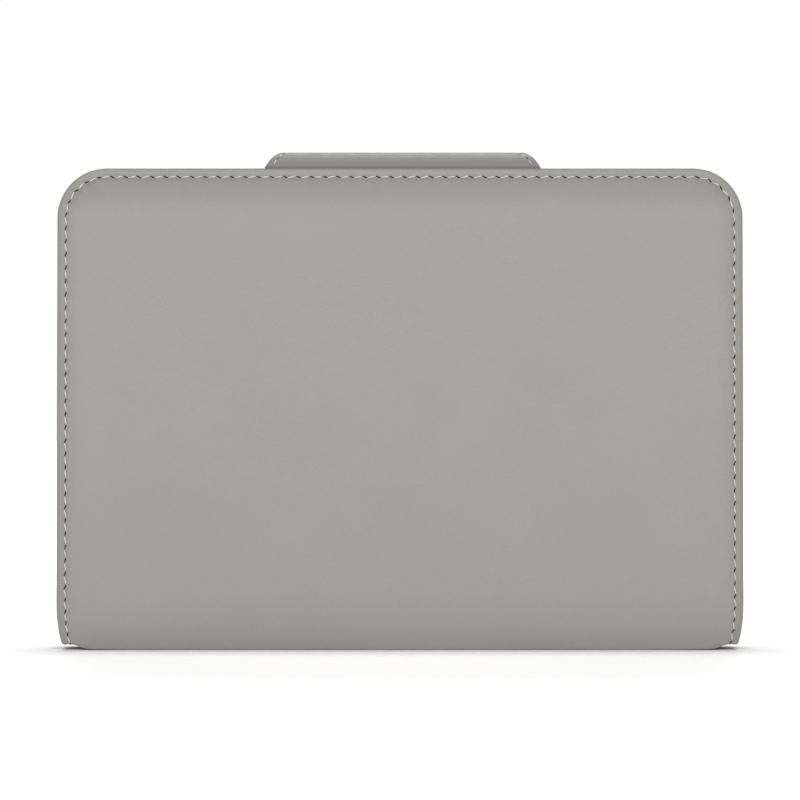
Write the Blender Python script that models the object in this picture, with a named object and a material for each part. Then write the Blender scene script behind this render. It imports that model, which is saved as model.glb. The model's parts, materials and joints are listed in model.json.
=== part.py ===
"""A junior padfolio, closed and standing on its spine, as a bench assembly.

X runs along the spine, Y goes from the back cover to the front cover and Z is up.
The back cover faces -Y. The origin is the middle of the face that the spine stands on.
The cover is one sheet pattern, wrapped round the spine and cut at its two fold lines.
Depth is measured inwards from the crowned outer face of the cover.
"""

import math

import bmesh
import bpy
from mathutils import Matrix, Vector

MM = 0.001

# Room between separate pieces
GAP = 0.3 * MM  # pieces that lie on each other
BOND = 0.2 * MM  # thin layers glued or sewn flat together

# Writing pad, which the rest is made around
PAD_LENGTH = 203 * MM
PAD_WIDTH = 127 * MM
SHEETS = 2.4 * MM  # thickness of the block of sheets
BACKING = 0.7 * MM
BINDING = 0.3 * MM
BINDING_REACH = 14 * MM  # how far the head tape lies over the sheets

# Cover layers
SKIN = 1.0 * MM
FOAM = 1 * MM
BOARD = 1.5 * MM
LINING = 0.6 * MM

# Cover outline
END_MARGIN = 16 * MM  # pad to cover edge, at each end of the spine
FORE_MARGIN = 13 * MM  # pad to cover edge, at the fore edge
SPINE_MARGIN = 24 * MM  # pad to the face that the spine stands on
CORNER_RADIUS = 18 * MM
EDGE_FOLD = 0.7 * MM  # rounding where the skin turns over its edge
HEM_WIDTH = 7.4 * MM  # skin turned over and doubled along the edge
STITCH_LAND = 3.4 * MM  # flat land that takes the edge stitching
CROWN_END_SHARE = 0.9  # of the corner radius: how far in the padded face is flat
CROWN_POWER = 3  # how quickly the padding swells beside the stitching
LINING_INSET = 1.5 * MM

# Spine
ROLL_WIDTH = 2.2 * MM  # how far the rounded corner reaches under the spine
ROLL_RISE = 7 * MM  # how far it reaches up the cover
INNER_ROLL = 0.4 * MM  # least rounding of the layers inside
SPINE_PULL = 2.6 * MM  # how far the spine's ends draw in at the bottom

# Pen loop
PEN_SPACE = 12 * MM
ELASTIC = 0.8 * MM
LOOP_LENGTH = 22 * MM
LOOP_PLAY = 1.7 * MM  # loop to the lining of each cover
LOOP_FOOT_RADIUS = 4 * MM

# Pockets
PAD_PANEL = 0.6 * MM
PAD_PANEL_END = -15 * MM  # the pad pocket's open edge, from the middle
PANEL_LAND = 2.5 * MM  # sewn-down border
PANEL_SLOPE = 2.5 * MM  # border to the raised part
PANEL_PLAY = 1 * MM  # raised part to the pad
DOCUMENT_POCKET = 0.5 * MM
DOCUMENT_POCKET_END = 52 * MM
THUMB_NOTCH_RADIUS = 13 * MM
CARD_PANEL = 0.4 * MM
CARD_PANEL_WIDTH = 94 * MM
CARD_CORNER = 4 * MM
CARD_SLOT_STEP = 14 * MM
CARD_SLOT_DEPTH = 50 * MM
CARD_MARGIN = 14 * MM  # card slots to the cover's end
CARD_SLOT_COUNT = 3
SLACK = 1.3 * MM  # air left between the two covers' contents

# Closure strap
STRAP_LAYER = 0.6 * MM
STRAP_ROOT_HALF = 47.4 * MM
STRAP_TIP_HALF = 31.5 * MM
STRAP_TIP_RADIUS = 9 * MM
STRAP_ROOT_LENGTH = 6.6 * MM  # sewn into the back cover's hem
STRAP_ARCH_RISE = 5.2 * MM  # middle of the strap above its two ends
FLAP_LENGTH = 28 * MM
FLAP_CORE = 0.9 * MM
FLAP_SEAM = 3.2 * MM  # edge of the flap to its core
MAGNET_LENGTH = 42 * MM
MAGNET_WIDTH = 9 * MM
MAGNET_FROM_TIP = 10 * MM  # flap tip to the magnet's middle
PLATE = 0.8 * MM

# Facets
ARC_STEPS = 9
ROLL_STEPS = 10
ARCH_STEPS = 12
CUTTER_OVERRUN = 5 * MM
SAME_PLACE = 0.001 * MM  # points nearer than this are one

# Worked out: layer depths in a cover
FOAM_OUT = SKIN + GAP
FOAM_IN = FOAM_OUT + FOAM
BOARD_OUT = FOAM_IN + GAP
BOARD_IN = BOARD_OUT + BOARD
LINING_OUT = BOARD_IN + GAP
COVER = LINING_OUT + LINING

# Worked out: the rim holds the strap's two layers where the middle holds foam and board
RIM_CORE = 2 * STRAP_LAYER + 3 * BOND
DROP = LINING_OUT - SKIN - RIM_CORE
CROWN_END = CROWN_END_SHARE * CORNER_RADIUS
CORE_INSET = HEM_WIDTH + 2 * GAP

# Worked out: overall sizes
LENGTH = PAD_LENGTH + 2 * END_MARGIN
HEIGHT = SPINE_MARGIN + PAD_WIDTH + FORE_MARGIN
LOOP_WIDTH = PEN_SPACE + 2 * ELASTIC
GUTTER = LOOP_WIDTH + 2 * LOOP_PLAY
HALF_THICKNESS = GUTTER / 2 + COVER
BASE_HALF = HALF_THICKNESS - ROLL_WIDTH

# Worked out: what lies inside each cover, as depths that go on from its lining
BACKING_OUT = COVER + GAP
BACKING_IN = BACKING_OUT + BACKING
PANEL_LOW_OUT = COVER + GAP
PANEL_OUT = BACKING_IN + GAP
PANEL_IN = PANEL_OUT + PAD_PANEL
SHEETS_OUT = PANEL_IN + GAP
SHEETS_IN = SHEETS_OUT + SHEETS
POCKET_OUT = COVER + GAP
POCKET_IN = POCKET_OUT + DOCUMENT_POCKET
CARD_PITCH = BOND + CARD_PANEL
CARDS_IN = POCKET_IN + CARD_SLOT_COUNT * CARD_PITCH
FORE_GAP = (SHEETS_IN - COVER) + (CARDS_IN - COVER) + SLACK

# Worked out: the quarter ellipse that the cover rolls round, and its fold line
ELLIPSE_MEAN = (ROLL_WIDTH - ROLL_RISE) ** 2 / (ROLL_WIDTH + ROLL_RISE) ** 2
ROLL_LENGTH = math.pi / 4 * (ROLL_WIDTH + ROLL_RISE) * (1 + ELLIPSE_MEAN / 4)
PATTERN_HALF = BASE_HALF + ROLL_LENGTH + HEIGHT - ROLL_RISE
FOLD_TURN = math.acos((ROLL_RISE - ROLL_WIDTH) / math.hypot(ROLL_RISE, ROLL_WIDTH)) - math.atan2(
    ROLL_WIDTH, ROLL_RISE
)
FOLD_U = BASE_HALF + ROLL_LENGTH * FOLD_TURN / (math.pi / 2)
FOLD_Y = BASE_HALF + ROLL_WIDTH * math.sin(FOLD_TURN)
FOLD_Z = ROLL_RISE * (1 - math.cos(FOLD_TURN))
LEAN = math.asin((GUTTER - FORE_GAP) / 2 / (HEIGHT - FOLD_Z))

# Worked out: places up the cover
PAD_LOW = SPINE_MARGIN
PAD_HIGH = SPINE_MARGIN + PAD_WIDTH
PANEL_RIM = PANEL_LAND + PANEL_SLOPE
PANEL_LOW = PAD_LOW - PANEL_PLAY - PANEL_RIM

BACK, SPINE, FRONT = -1, 0, 1

PU_GREY = ("cover_pu", (0.385, 0.37, 0.352, 1), 0.55, 0)
LINING_GREY = ("lining_cloth", (0.13, 0.13, 0.13, 1), 0.85, 0)
POCKET_GREY = ("pocket_pu", (0.30, 0.29, 0.275, 1), 0.6, 0)
FOAM_WHITE = ("foam", (0.8, 0.8, 0.78, 1), 0.9, 0)
BOARD_BROWN = ("greyboard", (0.35, 0.31, 0.26, 1), 0.9, 0)
PAPER_WHITE = ("paper", (0.86, 0.86, 0.84, 1), 0.8, 0)
TAPE_GREY = ("binding_tape", (0.2, 0.2, 0.2, 1), 0.7, 0)
ELASTIC_GREY = ("elastic", (0.16, 0.16, 0.16, 1), 0.9, 0)
CORE_BLACK = ("core_sheet", (0.03, 0.03, 0.03, 1), 0.6, 0)
MAGNET_BROWN = ("bonded_magnet", (0.09, 0.075, 0.065, 1), 0.7, 0)
STEEL = ("keeper_steel", (0.6, 0.6, 0.6, 1), 0.35, 1)


def clear_scene():
    for old in list(bpy.data.objects):
        bpy.data.objects.remove(old)


def material(finish):
    """The material of that finish, made the first time it is asked for."""
    name, colour, roughness, metallic = finish
    found = bpy.data.materials.get(name)
    if found:
        return found
    made = bpy.data.materials.new(name)
    made.use_nodes = True
    shader = made.node_tree.nodes["Principled BSDF"]
    shader.inputs["Base Color"].default_value = colour
    shader.inputs["Roughness"].default_value = roughness
    shader.inputs["Metallic"].default_value = metallic
    made.diffuse_color = colour
    return made


def fold_empty(name, parent, location, turn=0.0):
    """An empty on a fold's axis, which the pieces that turn there are parented to."""
    empty = bpy.data.objects.new(name, None)
    bpy.context.collection.objects.link(empty)
    empty.parent = parent
    empty.location = location
    empty.rotation_euler.x = turn
    bpy.context.view_layer.update()
    return empty


def add_piece(name, sheet, finish, parent=None):
    """Turns a bmesh in its parent's frame into the named piece."""
    bmesh.ops.recalc_face_normals(sheet, faces=sheet.faces)
    mesh = bpy.data.meshes.new(name)
    sheet.to_mesh(mesh)
    sheet.free()
    mesh.materials.append(material(finish))
    mesh.shade_smooth()
    mesh.set_sharp_from_angle(angle=math.radians(30))
    piece = bpy.data.objects.new(name, mesh)
    bpy.context.collection.objects.link(piece)
    piece.parent = parent
    return piece


def smooth_step(share):
    """0 to 1 along an S curve."""
    share = min(max(share, 0), 1)
    return share * share * (3 - 2 * share)


def arc(centre, radius, start, end):
    """Points of an arc, angles in degrees, both ends included."""
    angles = [math.radians(start + (end - start) * i / ARC_STEPS) for i in range(ARC_STEPS + 1)]
    return [(centre[0] + radius * math.cos(a), centre[1] + radius * math.sin(a)) for a in angles]


def cover_outline(left, right, low, high, radius):
    """A rectangle whose two upper corners are round."""
    return [
        (left, low),
        (right, low),
        *arc((right - radius, high - radius), radius, 0, 90),
        *arc((left + radius, high - radius), radius, 90, 180),
    ]


def round_outline(half_x, half_u, radius):
    """A rectangle about the origin with four round corners."""
    x, u = half_x - radius, half_u - radius
    return [
        *arc((x, -u), radius, -90, 0),
        *arc((x, u), radius, 0, 90),
        *arc((-x, u), radius, 90, 180),
        *arc((-x, -u), radius, 180, 270),
    ]


def cut(sheet, point, normal, drop=False):
    """A line across the flat sheet. With drop, what lies on the normal's side goes."""
    everything = sheet.verts[:] + sheet.edges[:] + sheet.faces[:]
    bmesh.ops.bisect_plane(
        sheet, geom=everything, dist=SAME_PLACE, plane_co=point, plane_no=normal, clear_outer=drop
    )


def flat_sheet(outline, rings=()):
    """A flat sheet of that outline, with rings at these distances in from it."""
    sheet = bmesh.new()
    face = sheet.faces.new([sheet.verts.new((x, u, 0)) for x, u in outline])
    face.normal_update()
    reached = 0
    for ring in rings:
        bmesh.ops.inset_region(
            sheet, faces=[face], thickness=ring - reached, use_boundary=True, use_even_offset=True
        )
        reached = ring
    return sheet


def thicken(sheet, place):
    """Makes the flat sheet a solid. place(x, u, under) says where each point of its two faces goes."""
    outer = sheet.verts[:]
    made = bmesh.ops.extrude_face_region(sheet, geom=sheet.faces[:])["geom"]
    inner = [v for v in made if isinstance(v, bmesh.types.BMVert)]
    for verts, under in ((outer, False), (inner, True)):
        for vert in verts:
            vert.co = place(vert.co.x, vert.co.y, under)
    return sheet


# The cover pattern


def edge_distance(x, u):
    """How far a point of the opened-out cover is from its outline."""
    over_x = abs(x) - LENGTH / 2 + CORNER_RADIUS
    over_u = abs(u) - PATTERN_HALF + CORNER_RADIUS
    outside = math.hypot(max(over_x, 0), max(over_u, 0))
    return CORNER_RADIUS - outside - min(max(over_x, over_u), 0)


def crown(distance):
    """Depth of the padded face: flat in the middle, low along the stitched edge."""
    share = (distance - STITCH_LAND) / (CROWN_END - STITCH_LAND)
    return DROP * (1 - min(max(share, 0), 1)) ** CROWN_POWER


def roll_at(depth):
    """Width and rise of the rounded corner at that depth: it gets tighter inwards, but never sharp."""
    return max(ROLL_WIDTH - depth, INNER_ROLL), ROLL_RISE - depth


def round_spine(x, u, depth):
    """The opened-out cover's point (x, u) at that depth, wrapped round the spine, covers upright."""
    reach = abs(u)
    turn = math.pi / 2 * min(max((reach - BASE_HALF) / ROLL_LENGTH, 0), 1)
    width, rise = roll_at(depth)
    flat = HALF_THICKNESS - depth - width
    across = flat * min(reach / BASE_HALF, 1) + width * math.sin(turn)
    up = depth + rise * (1 - math.cos(turn)) + max(reach - BASE_HALF - ROLL_LENGTH, 0)
    pulled = x * (1 - SPINE_PULL * math.cos(turn) ** 2 / (LENGTH / 2))
    return Vector((pulled, math.copysign(across, u), up))


def from_fold(side, point):
    """An upright cover's point in the frame of that cover's fold. The spine keeps the world's frame."""
    return point - Vector((0, side * FOLD_Y, FOLD_Z)) if side else point


def pattern_piece(side, outline, rings, depth_of):
    """One cover's or the spine's part of the pattern, wrapped and given its two depths."""
    sheet = flat_sheet(outline, rings)
    step_length = ROLL_LENGTH / ROLL_STEPS
    for step in range(ROLL_STEPS + 1):
        line = BASE_HALF + step * step_length
        if abs(line - FOLD_U) > step_length:
            cut(sheet, (0, line, 0), (0, 1, 0))
            cut(sheet, (0, -line, 0), (0, 1, 0))
    end = PATTERN_HALF + CUTTER_OVERRUN
    low, high = {BACK: (-end, -FOLD_U), SPINE: (-FOLD_U, FOLD_U), FRONT: (FOLD_U, end)}[side]
    cut(sheet, (0, high, 0), (0, 1, 0), drop=True)
    cut(sheet, (0, low, 0), (0, -1, 0), drop=True)

    def place(x, u, under):
        depth = depth_of(x, u, under)
        return from_fold(side, round_spine(x, clear_of_fold(side, u, depth), depth))

    return thicken(sheet, place)


def clear_of_fold(side, u, depth):
    """Mitres the pattern's parts at the fold, so that deep layers keep their gap as the covers lean."""
    width, rise = roll_at(depth)
    tightness = math.hypot(width * math.cos(FOLD_TURN), rise * math.sin(FOLD_TURN)) / math.hypot(
        ROLL_WIDTH * math.cos(FOLD_TURN), ROLL_RISE * math.sin(FOLD_TURN)
    )
    room = (GAP / 2 + depth * math.sin(LEAN)) / tightness
    reach = min(abs(u), FOLD_U - room) if side == SPINE else max(abs(u), FOLD_U + room)
    return math.copysign(reach, u)


def skin_depth(x, u, under):
    """The skin's outer face, and its inner face: the doubled hem, then one layer."""
    distance = edge_distance(x, u)
    face = crown(distance)
    turned = max(EDGE_FOLD - distance, 0)
    rounding = EDGE_FOLD - math.sqrt(max(EDGE_FOLD**2 - turned**2, 0))
    if not under:
        return face + rounding
    return BOARD_IN - rounding / 2 if distance < HEM_WIDTH + GAP / 2 else face + SKIN


SKIN_RING_SHARES = (0.2, 0.45, 0.75)  # of the way from the hem to the flat of the crown


def skin_rings():
    """Distances in from the edge: the turned edge, the stitch land, the hem, then the crown's rise."""
    hem_in = HEM_WIDTH + GAP
    rise = [hem_in + share * (CROWN_END - hem_in) for share in SKIN_RING_SHARES]
    return [EDGE_FOLD / 4, EDGE_FOLD, STITCH_LAND, HEM_WIDTH, hem_in, *rise, CROWN_END]


def skin_sheet(side):
    outline = round_outline(LENGTH / 2, PATTERN_HALF, CORNER_RADIUS)
    return pattern_piece(side, outline, skin_rings(), skin_depth)


FOAM_RING_SHARES = (0.5, 1)  # of the way from the foam's edge to the flat of the crown


def foam_sheet(side):
    outline = round_outline(
        LENGTH / 2 - CORE_INSET, PATTERN_HALF - CORE_INSET, CORNER_RADIUS - CORE_INSET
    )
    rings = [share * (CROWN_END - CORE_INSET) for share in FOAM_RING_SHARES]

    def depth(x, u, under):
        return FOAM_IN if under else crown(edge_distance(x, u)) + FOAM_OUT

    return pattern_piece(side, outline, rings, depth)


def lining_sheet(side):
    outline = round_outline(
        LENGTH / 2 - LINING_INSET, PATTERN_HALF - LINING_INSET, CORNER_RADIUS - LINING_INSET
    )
    return pattern_piece(side, outline, (), lambda x, u, under: COVER if under else LINING_OUT)


def face_place(side, depth_of):
    """Places a flat piece of a cover: x along the spine, z up the cover, and its two depths."""

    def place(x, z, under):
        return from_fold(side, Vector((x, side * (HALF_THICKNESS - depth_of(x, z, under)), z)))

    return place


def plate(outline, side, depth_out, depth_in):
    """A flat plate in a cover, between two depths."""
    return thicken(flat_sheet(outline), face_place(side, lambda x, z, under: depth_in if under else depth_out))


def subtract(piece, cutter):
    """Cuts one hidden shape out of a piece."""
    cutter.hide_render = True
    cutter.display_type = "WIRE"
    hole = piece.modifiers.new(cutter.name, "BOOLEAN")
    hole.operation = "DIFFERENCE"
    hole.solver = "EXACT"
    hole.object = cutter


def build_cover(side, name, fold):
    """Skin, foam, board and lining of one cover."""
    skin = add_piece(f"{name}_skin", skin_sheet(side), PU_GREY, fold)
    foam = add_piece(f"{name}_foam", foam_sheet(side), FOAM_WHITE, fold)
    board = cover_outline(
        -LENGTH / 2 + CORE_INSET,
        LENGTH / 2 - CORE_INSET,
        ROLL_RISE + 2 * GAP,
        HEIGHT - CORE_INSET,
        CORNER_RADIUS - CORE_INSET,
    )
    add_piece(f"{name}_board", plate(board, side, BOARD_OUT, BOARD_IN), BOARD_BROWN, fold)
    add_piece(f"{name}_lining", lining_sheet(side), LINING_GREY, fold)
    return skin, foam


# Spine


def build_spine():
    """Skin, foam, board and lining of the spine, and the pen loop on it."""
    add_piece("spine_skin", skin_sheet(SPINE), PU_GREY)
    add_piece("spine_foam", foam_sheet(SPINE), FOAM_WHITE)
    half_length = LENGTH / 2 - SPINE_PULL - CORE_INSET
    board_half = HALF_THICKNESS - BOARD_OUT - GAP
    add_piece("spine_board", block(half_length, board_half, BOARD_OUT, BOARD_IN), BOARD_BROWN)
    add_piece("spine_lining", lining_sheet(SPINE), LINING_GREY)
    build_pen_loop()


def block(half_x, half_y, low, high):
    """A plain strip about the middle of the spine."""
    strip = bmesh.new()
    bmesh.ops.create_cube(strip, size=1)
    bmesh.ops.scale(strip, verts=strip.verts, vec=(2 * half_x, 2 * half_y, high - low))
    bmesh.ops.translate(strip, verts=strip.verts, vec=(0, 0, (high + low) / 2))
    return strip


def loop_profile(inset):
    """The elastic's section, across and up: a flat foot with a round top, that far inside its outer line."""
    half = LOOP_WIDTH / 2 - inset
    foot = max(LOOP_FOOT_RADIUS - inset, GAP)
    low = COVER + GAP + inset
    middle = COVER + GAP + LOOP_WIDTH / 2
    top = [point for i in range(2) for point in arc((0, middle), half, 90 * i, 90 * i + 90)[i:]]
    return [
        *arc((-half + foot, low + foot), foot, 180, 270),
        *arc((half - foot, low + foot), foot, 270, 360),
        *top,
    ]


def build_pen_loop():
    """Outer and inner section lines joined into a band, then extruded along the spine."""
    band = bmesh.new()
    outer = [band.verts.new((-LOOP_LENGTH / 2, y, z)) for y, z in loop_profile(0)]
    inner = [band.verts.new((-LOOP_LENGTH / 2, y, z)) for y, z in loop_profile(ELASTIC)]
    edges = []
    for line in (outer, inner):
        edges += [band.edges.new((line[i - 1], line[i])) for i in range(len(line))]
    bmesh.ops.bridge_loops(band, edges=edges)
    made = bmesh.ops.extrude_face_region(band, geom=band.faces[:])["geom"]
    moved = [v for v in made if isinstance(v, bmesh.types.BMVert)]
    bmesh.ops.translate(band, verts=moved, vec=(LOOP_LENGTH, 0, 0))
    add_piece("pen_loop", band, ELASTIC_GREY)


# Inside the back cover


def build_pad_pocket(fold):
    """A panel sewn down on three sides and raised over the pad's backing, open towards +X."""
    left, high = -LENGTH / 2 + LINING_INSET, HEIGHT - LINING_INSET
    radius = CORNER_RADIUS - LINING_INSET
    right = LENGTH / 2
    outline = cover_outline(left, right, PANEL_LOW, high, radius)
    sheet = flat_sheet(outline, (PANEL_LAND, PANEL_RIM))
    cut(sheet, (PAD_PANEL_END, 0, 0), (1, 0, 0), drop=True)

    def depth(x, z, under):
        over_x, over_z = left + radius - x, z - (high - radius)
        corner = radius - math.hypot(max(over_x, 0), max(over_z, 0)) - min(max(over_x, over_z), 0)
        border = min(corner, z - PANEL_LOW)
        lift = smooth_step((border - PANEL_LAND) / PANEL_SLOPE)
        face = PANEL_LOW_OUT + (PANEL_OUT - PANEL_LOW_OUT) * lift
        return face + PAD_PANEL if under else face

    add_piece("pad_pocket", thicken(sheet, face_place(BACK, depth)), POCKET_GREY, fold)


def pad_outline(left, right):
    return [(left, PAD_LOW), (right, PAD_LOW), (right, PAD_HIGH), (left, PAD_HIGH)]


def build_pad(fold):
    """Backing in the pocket, sheets over it, and the tape that holds both at the pad's head."""
    left, right = -PAD_LENGTH / 2, PAD_LENGTH / 2
    step = PAD_PANEL_END + GAP
    backing = plate(pad_outline(left, right), BACK, BACKING_OUT, BACKING_IN)
    add_piece("pad_backing", backing, BOARD_BROWN, fold)
    section = [
        (left, SHEETS_OUT),
        (step, SHEETS_OUT),
        (step, BACKING_IN + GAP),
        (right, BACKING_IN + GAP),
        (right, SHEETS_IN),
        (left, SHEETS_IN),
    ]
    add_piece("pad_sheets", pad_section(section), PAPER_WHITE, fold)
    end, top = right + BOND, SHEETS_IN + BOND
    reach = right - BINDING_REACH
    tape = [
        (end, BACKING_OUT),
        (end + BINDING, BACKING_OUT),
        (end + BINDING, top + BINDING),
        (reach, top + BINDING),
        (reach, top),
        (end, top),
    ]
    add_piece("pad_binding", pad_section(tape), TAPE_GREY, fold)


def pad_section(section):
    """A section across the pad, in x and depth, extruded over the pad's width."""
    solid = bmesh.new()
    verts = [
        solid.verts.new(from_fold(BACK, Vector((x, depth - HALF_THICKNESS, PAD_LOW)))) for x, depth in section
    ]
    solid.faces.new(verts)
    made = bmesh.ops.extrude_face_region(solid, geom=solid.faces[:])["geom"]
    moved = [v for v in made if isinstance(v, bmesh.types.BMVert)]
    bmesh.ops.translate(solid, verts=moved, vec=(0, 0, PAD_WIDTH))
    return solid


# Inside the front cover


def build_document_pocket(fold):
    """A flat panel sewn on three sides, with a thumb notch in its open edge."""
    left, high = -LENGTH / 2 + LINING_INSET, HEIGHT - LINING_INSET
    radius = CORNER_RADIUS - LINING_INSET
    middle = (PANEL_LOW + high) / 2
    notch = [(x, z) for x, z in arc((DOCUMENT_POCKET_END, middle), THUMB_NOTCH_RADIUS, 270, 90)]
    outline = [
        (left, PANEL_LOW),
        (DOCUMENT_POCKET_END, PANEL_LOW),
        *notch,
        (DOCUMENT_POCKET_END, high),
        *arc((left + radius, high - radius), radius, 90, 180),
    ]
    add_piece("document_pocket", plate(outline, FRONT, POCKET_OUT, POCKET_IN), POCKET_GREY, fold)


def build_card_slots(fold):
    """Card panels in steps, the longest lying lowest."""
    left = -LENGTH / 2 + CARD_MARGIN
    middle = (PANEL_LOW + HEIGHT - LINING_INSET) / 2
    low, high = middle - CARD_PANEL_WIDTH / 2, middle + CARD_PANEL_WIDTH / 2
    for slot in range(CARD_SLOT_COUNT):
        right = left + CARD_SLOT_DEPTH + (CARD_SLOT_COUNT - 1 - slot) * CARD_SLOT_STEP
        depth_out = POCKET_IN + slot * CARD_PITCH + BOND
        outline = [
            (right, low),
            (right, high),
            *arc((left + CARD_CORNER, high - CARD_CORNER), CARD_CORNER, 90, 180),
            *arc((left + CARD_CORNER, low + CARD_CORNER), CARD_CORNER, 180, 270),
        ]
        panel = plate(outline, FRONT, depth_out, depth_out + CARD_PANEL)
        add_piece(f"card_slot_{slot + 1}", panel, POCKET_GREY, fold)


# Closure strap

FLAP_HALF = STRAP_LAYER + BOND + FLAP_CORE / 2
STRAP_HALF = STRAP_LAYER + BOND / 2
STRAP_DEPTH = DROP + SKIN + BOND + STRAP_HALF


def leaned(side, across, up):
    """The world place (y, z) of an upright cover's point, once the cover leans in."""
    local = from_fold(side, Vector((0, side * across, up)))
    turned = Matrix.Rotation(side * LEAN, 3, "X") @ local
    return Vector((turned.y + side * FOLD_Y, turned.z + FOLD_Z))


STRAP_START = leaned(BACK, HALF_THICKNESS - STRAP_DEPTH, HEIGHT + GAP)
STRAP_END = leaned(FRONT, HALF_THICKNESS + GAP + FLAP_HALF, HEIGHT + GAP)
ARCH_MIDDLE = (STRAP_START + STRAP_END) / 2
ARCH_HALF = (STRAP_END - STRAP_START) / 2
ARCH_RATIO = (ARCH_HALF.length - STRAP_ARCH_RISE) ** 2 / (ARCH_HALF.length + STRAP_ARCH_RISE) ** 2
ARCH_LENGTH = math.pi / 2 * (ARCH_HALF.length + STRAP_ARCH_RISE) * (1 + ARCH_RATIO / 4)
STRAP_REACH = ARCH_LENGTH + FLAP_LENGTH
ROOT_UP = Vector((math.sin(LEAN), math.cos(LEAN)))
FLAP_DOWN = Vector((math.sin(LEAN), -math.cos(LEAN)))


def strap_place(x, along, depth):
    """A point of the flat strap in the world: out of the back cover, over the fore edge, down the front.

    Depth is from the strap's middle layer towards its lining side.
    """
    if along <= 0:
        on, ahead = STRAP_START + along * ROOT_UP, ROOT_UP
    elif along >= ARCH_LENGTH:
        on, ahead = STRAP_END + (along - ARCH_LENGTH) * FLAP_DOWN, FLAP_DOWN
    else:
        turn = math.pi * along / ARCH_LENGTH
        up = Vector((-ARCH_HALF.y, ARCH_HALF.x)).normalized() * STRAP_ARCH_RISE
        on = ARCH_MIDDLE - ARCH_HALF * math.cos(turn) + up * math.sin(turn)
        ahead = (ARCH_HALF * math.sin(turn) + up * math.cos(turn)).normalized()
    inward = Vector((ahead.y, -ahead.x))
    return Vector((x, on.x + inward.x * depth, on.y + inward.y * depth))


def strap_half_width(along):
    """Half the strap's width: widest at its root, drawn in along a parabola to its tip."""
    left = 1 - min(max(along, 0), STRAP_REACH) / STRAP_REACH
    return STRAP_TIP_HALF + (STRAP_ROOT_HALF - STRAP_TIP_HALF) * left**2


def strap_outline(low, high, inset=0.0):
    """The strap's flat outline between two places along it, that far inside its edge."""
    tip = STRAP_REACH - inset
    radius = STRAP_TIP_RADIUS - inset
    top = min(high, tip)
    sides = [low + (min(top, tip - radius) - low) * i / ARCH_STEPS for i in range(ARCH_STEPS + 1)]
    right = [(strap_half_width(s) - inset, s) for s in sides]
    if high > tip - radius:
        reach = strap_half_width(tip) - inset
        right = [p for p in right if p[1] < tip - radius]
        right += arc((reach - radius, tip - radius), radius, 0, 90)
    return right + [(-x, s) for x, s in reversed(right)]


def strap_layer(low, high, depth_out, depth_in, parent, lines=ARCH_STEPS, inset=0.0):
    """One layer of the strap between two places along it, in its parent's frame."""
    sheet = flat_sheet(strap_outline(low, high, inset))
    for step in range(1, lines):
        cut(sheet, (0, ARCH_LENGTH * step / lines, 0), (0, 1, 0))
    into = parent.matrix_world.inverted()
    return thicken(sheet, lambda x, s, under: into @ strap_place(x, s, depth_in if under else depth_out))


def build_strap(back_fold):
    """Root in the back cover's hem, arch over the fore edge, flap on the front cover."""
    into_back = back_fold.matrix_world.inverted()
    root_axis = strap_place(0, 0, -STRAP_HALF)
    strap_fold = fold_empty("strap_fold", back_fold, into_back @ root_axis, LEAN)
    flap_axis = strap_place(0, ARCH_LENGTH, -FLAP_HALF)
    flap_fold = fold_empty("flap_fold", strap_fold, strap_fold.matrix_world.inverted() @ flap_axis)

    root = strap_layer(-STRAP_ROOT_LENGTH, -GAP, -STRAP_HALF, STRAP_HALF, back_fold)
    add_piece("strap_root", root, PU_GREY, back_fold)
    layer_in = BOND / 2
    skin = strap_layer(0, ARCH_LENGTH - GAP, -STRAP_HALF, -layer_in, strap_fold)
    add_piece("strap_skin", skin, PU_GREY, strap_fold)
    lining = strap_layer(0, ARCH_LENGTH - GAP, layer_in, STRAP_HALF, strap_fold)
    add_piece("strap_lining", lining, POCKET_GREY, strap_fold)
    build_flap(flap_fold)


def build_flap(fold):
    """Skin and lining with a core sheet between them, and the magnet in the core's window."""
    half_core = FLAP_CORE / 2
    start, end = ARCH_LENGTH, STRAP_REACH
    skin = strap_layer(start, end, -FLAP_HALF, -half_core - BOND, fold, lines=0)
    add_piece("flap_skin", skin, PU_GREY, fold)
    lining = strap_layer(start, end, half_core + BOND, FLAP_HALF, fold, lines=0)
    add_piece("flap_lining", lining, POCKET_GREY, fold)
    core_sheet = strap_layer(start + FLAP_SEAM, end, -half_core, half_core, fold, 0, FLAP_SEAM)
    core = add_piece("flap_core", core_sheet, CORE_BLACK, fold)
    window = strap_block("magnet_window", fold, GAP, half_core + GAP)
    subtract(core, window)
    strap_block("flap_magnet", fold, 0, half_core)


def strap_block(name, fold, grow, half_depth):
    """The magnet's block in the flap, grown on all sides for its window."""
    middle = STRAP_REACH - MAGNET_FROM_TIP
    half_x, half_s = MAGNET_LENGTH / 2 + grow, MAGNET_WIDTH / 2 + grow
    outline = [(half_x, middle - half_s), (half_x, middle + half_s)]
    outline += [(-half_x, middle + half_s), (-half_x, middle - half_s)]
    into = fold.matrix_world.inverted()
    solid = thicken(
        flat_sheet(outline),
        lambda x, s, under: into @ strap_place(x, s, half_depth if under else -half_depth),
    )
    return add_piece(name, solid, MAGNET_BROWN, fold)


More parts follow.
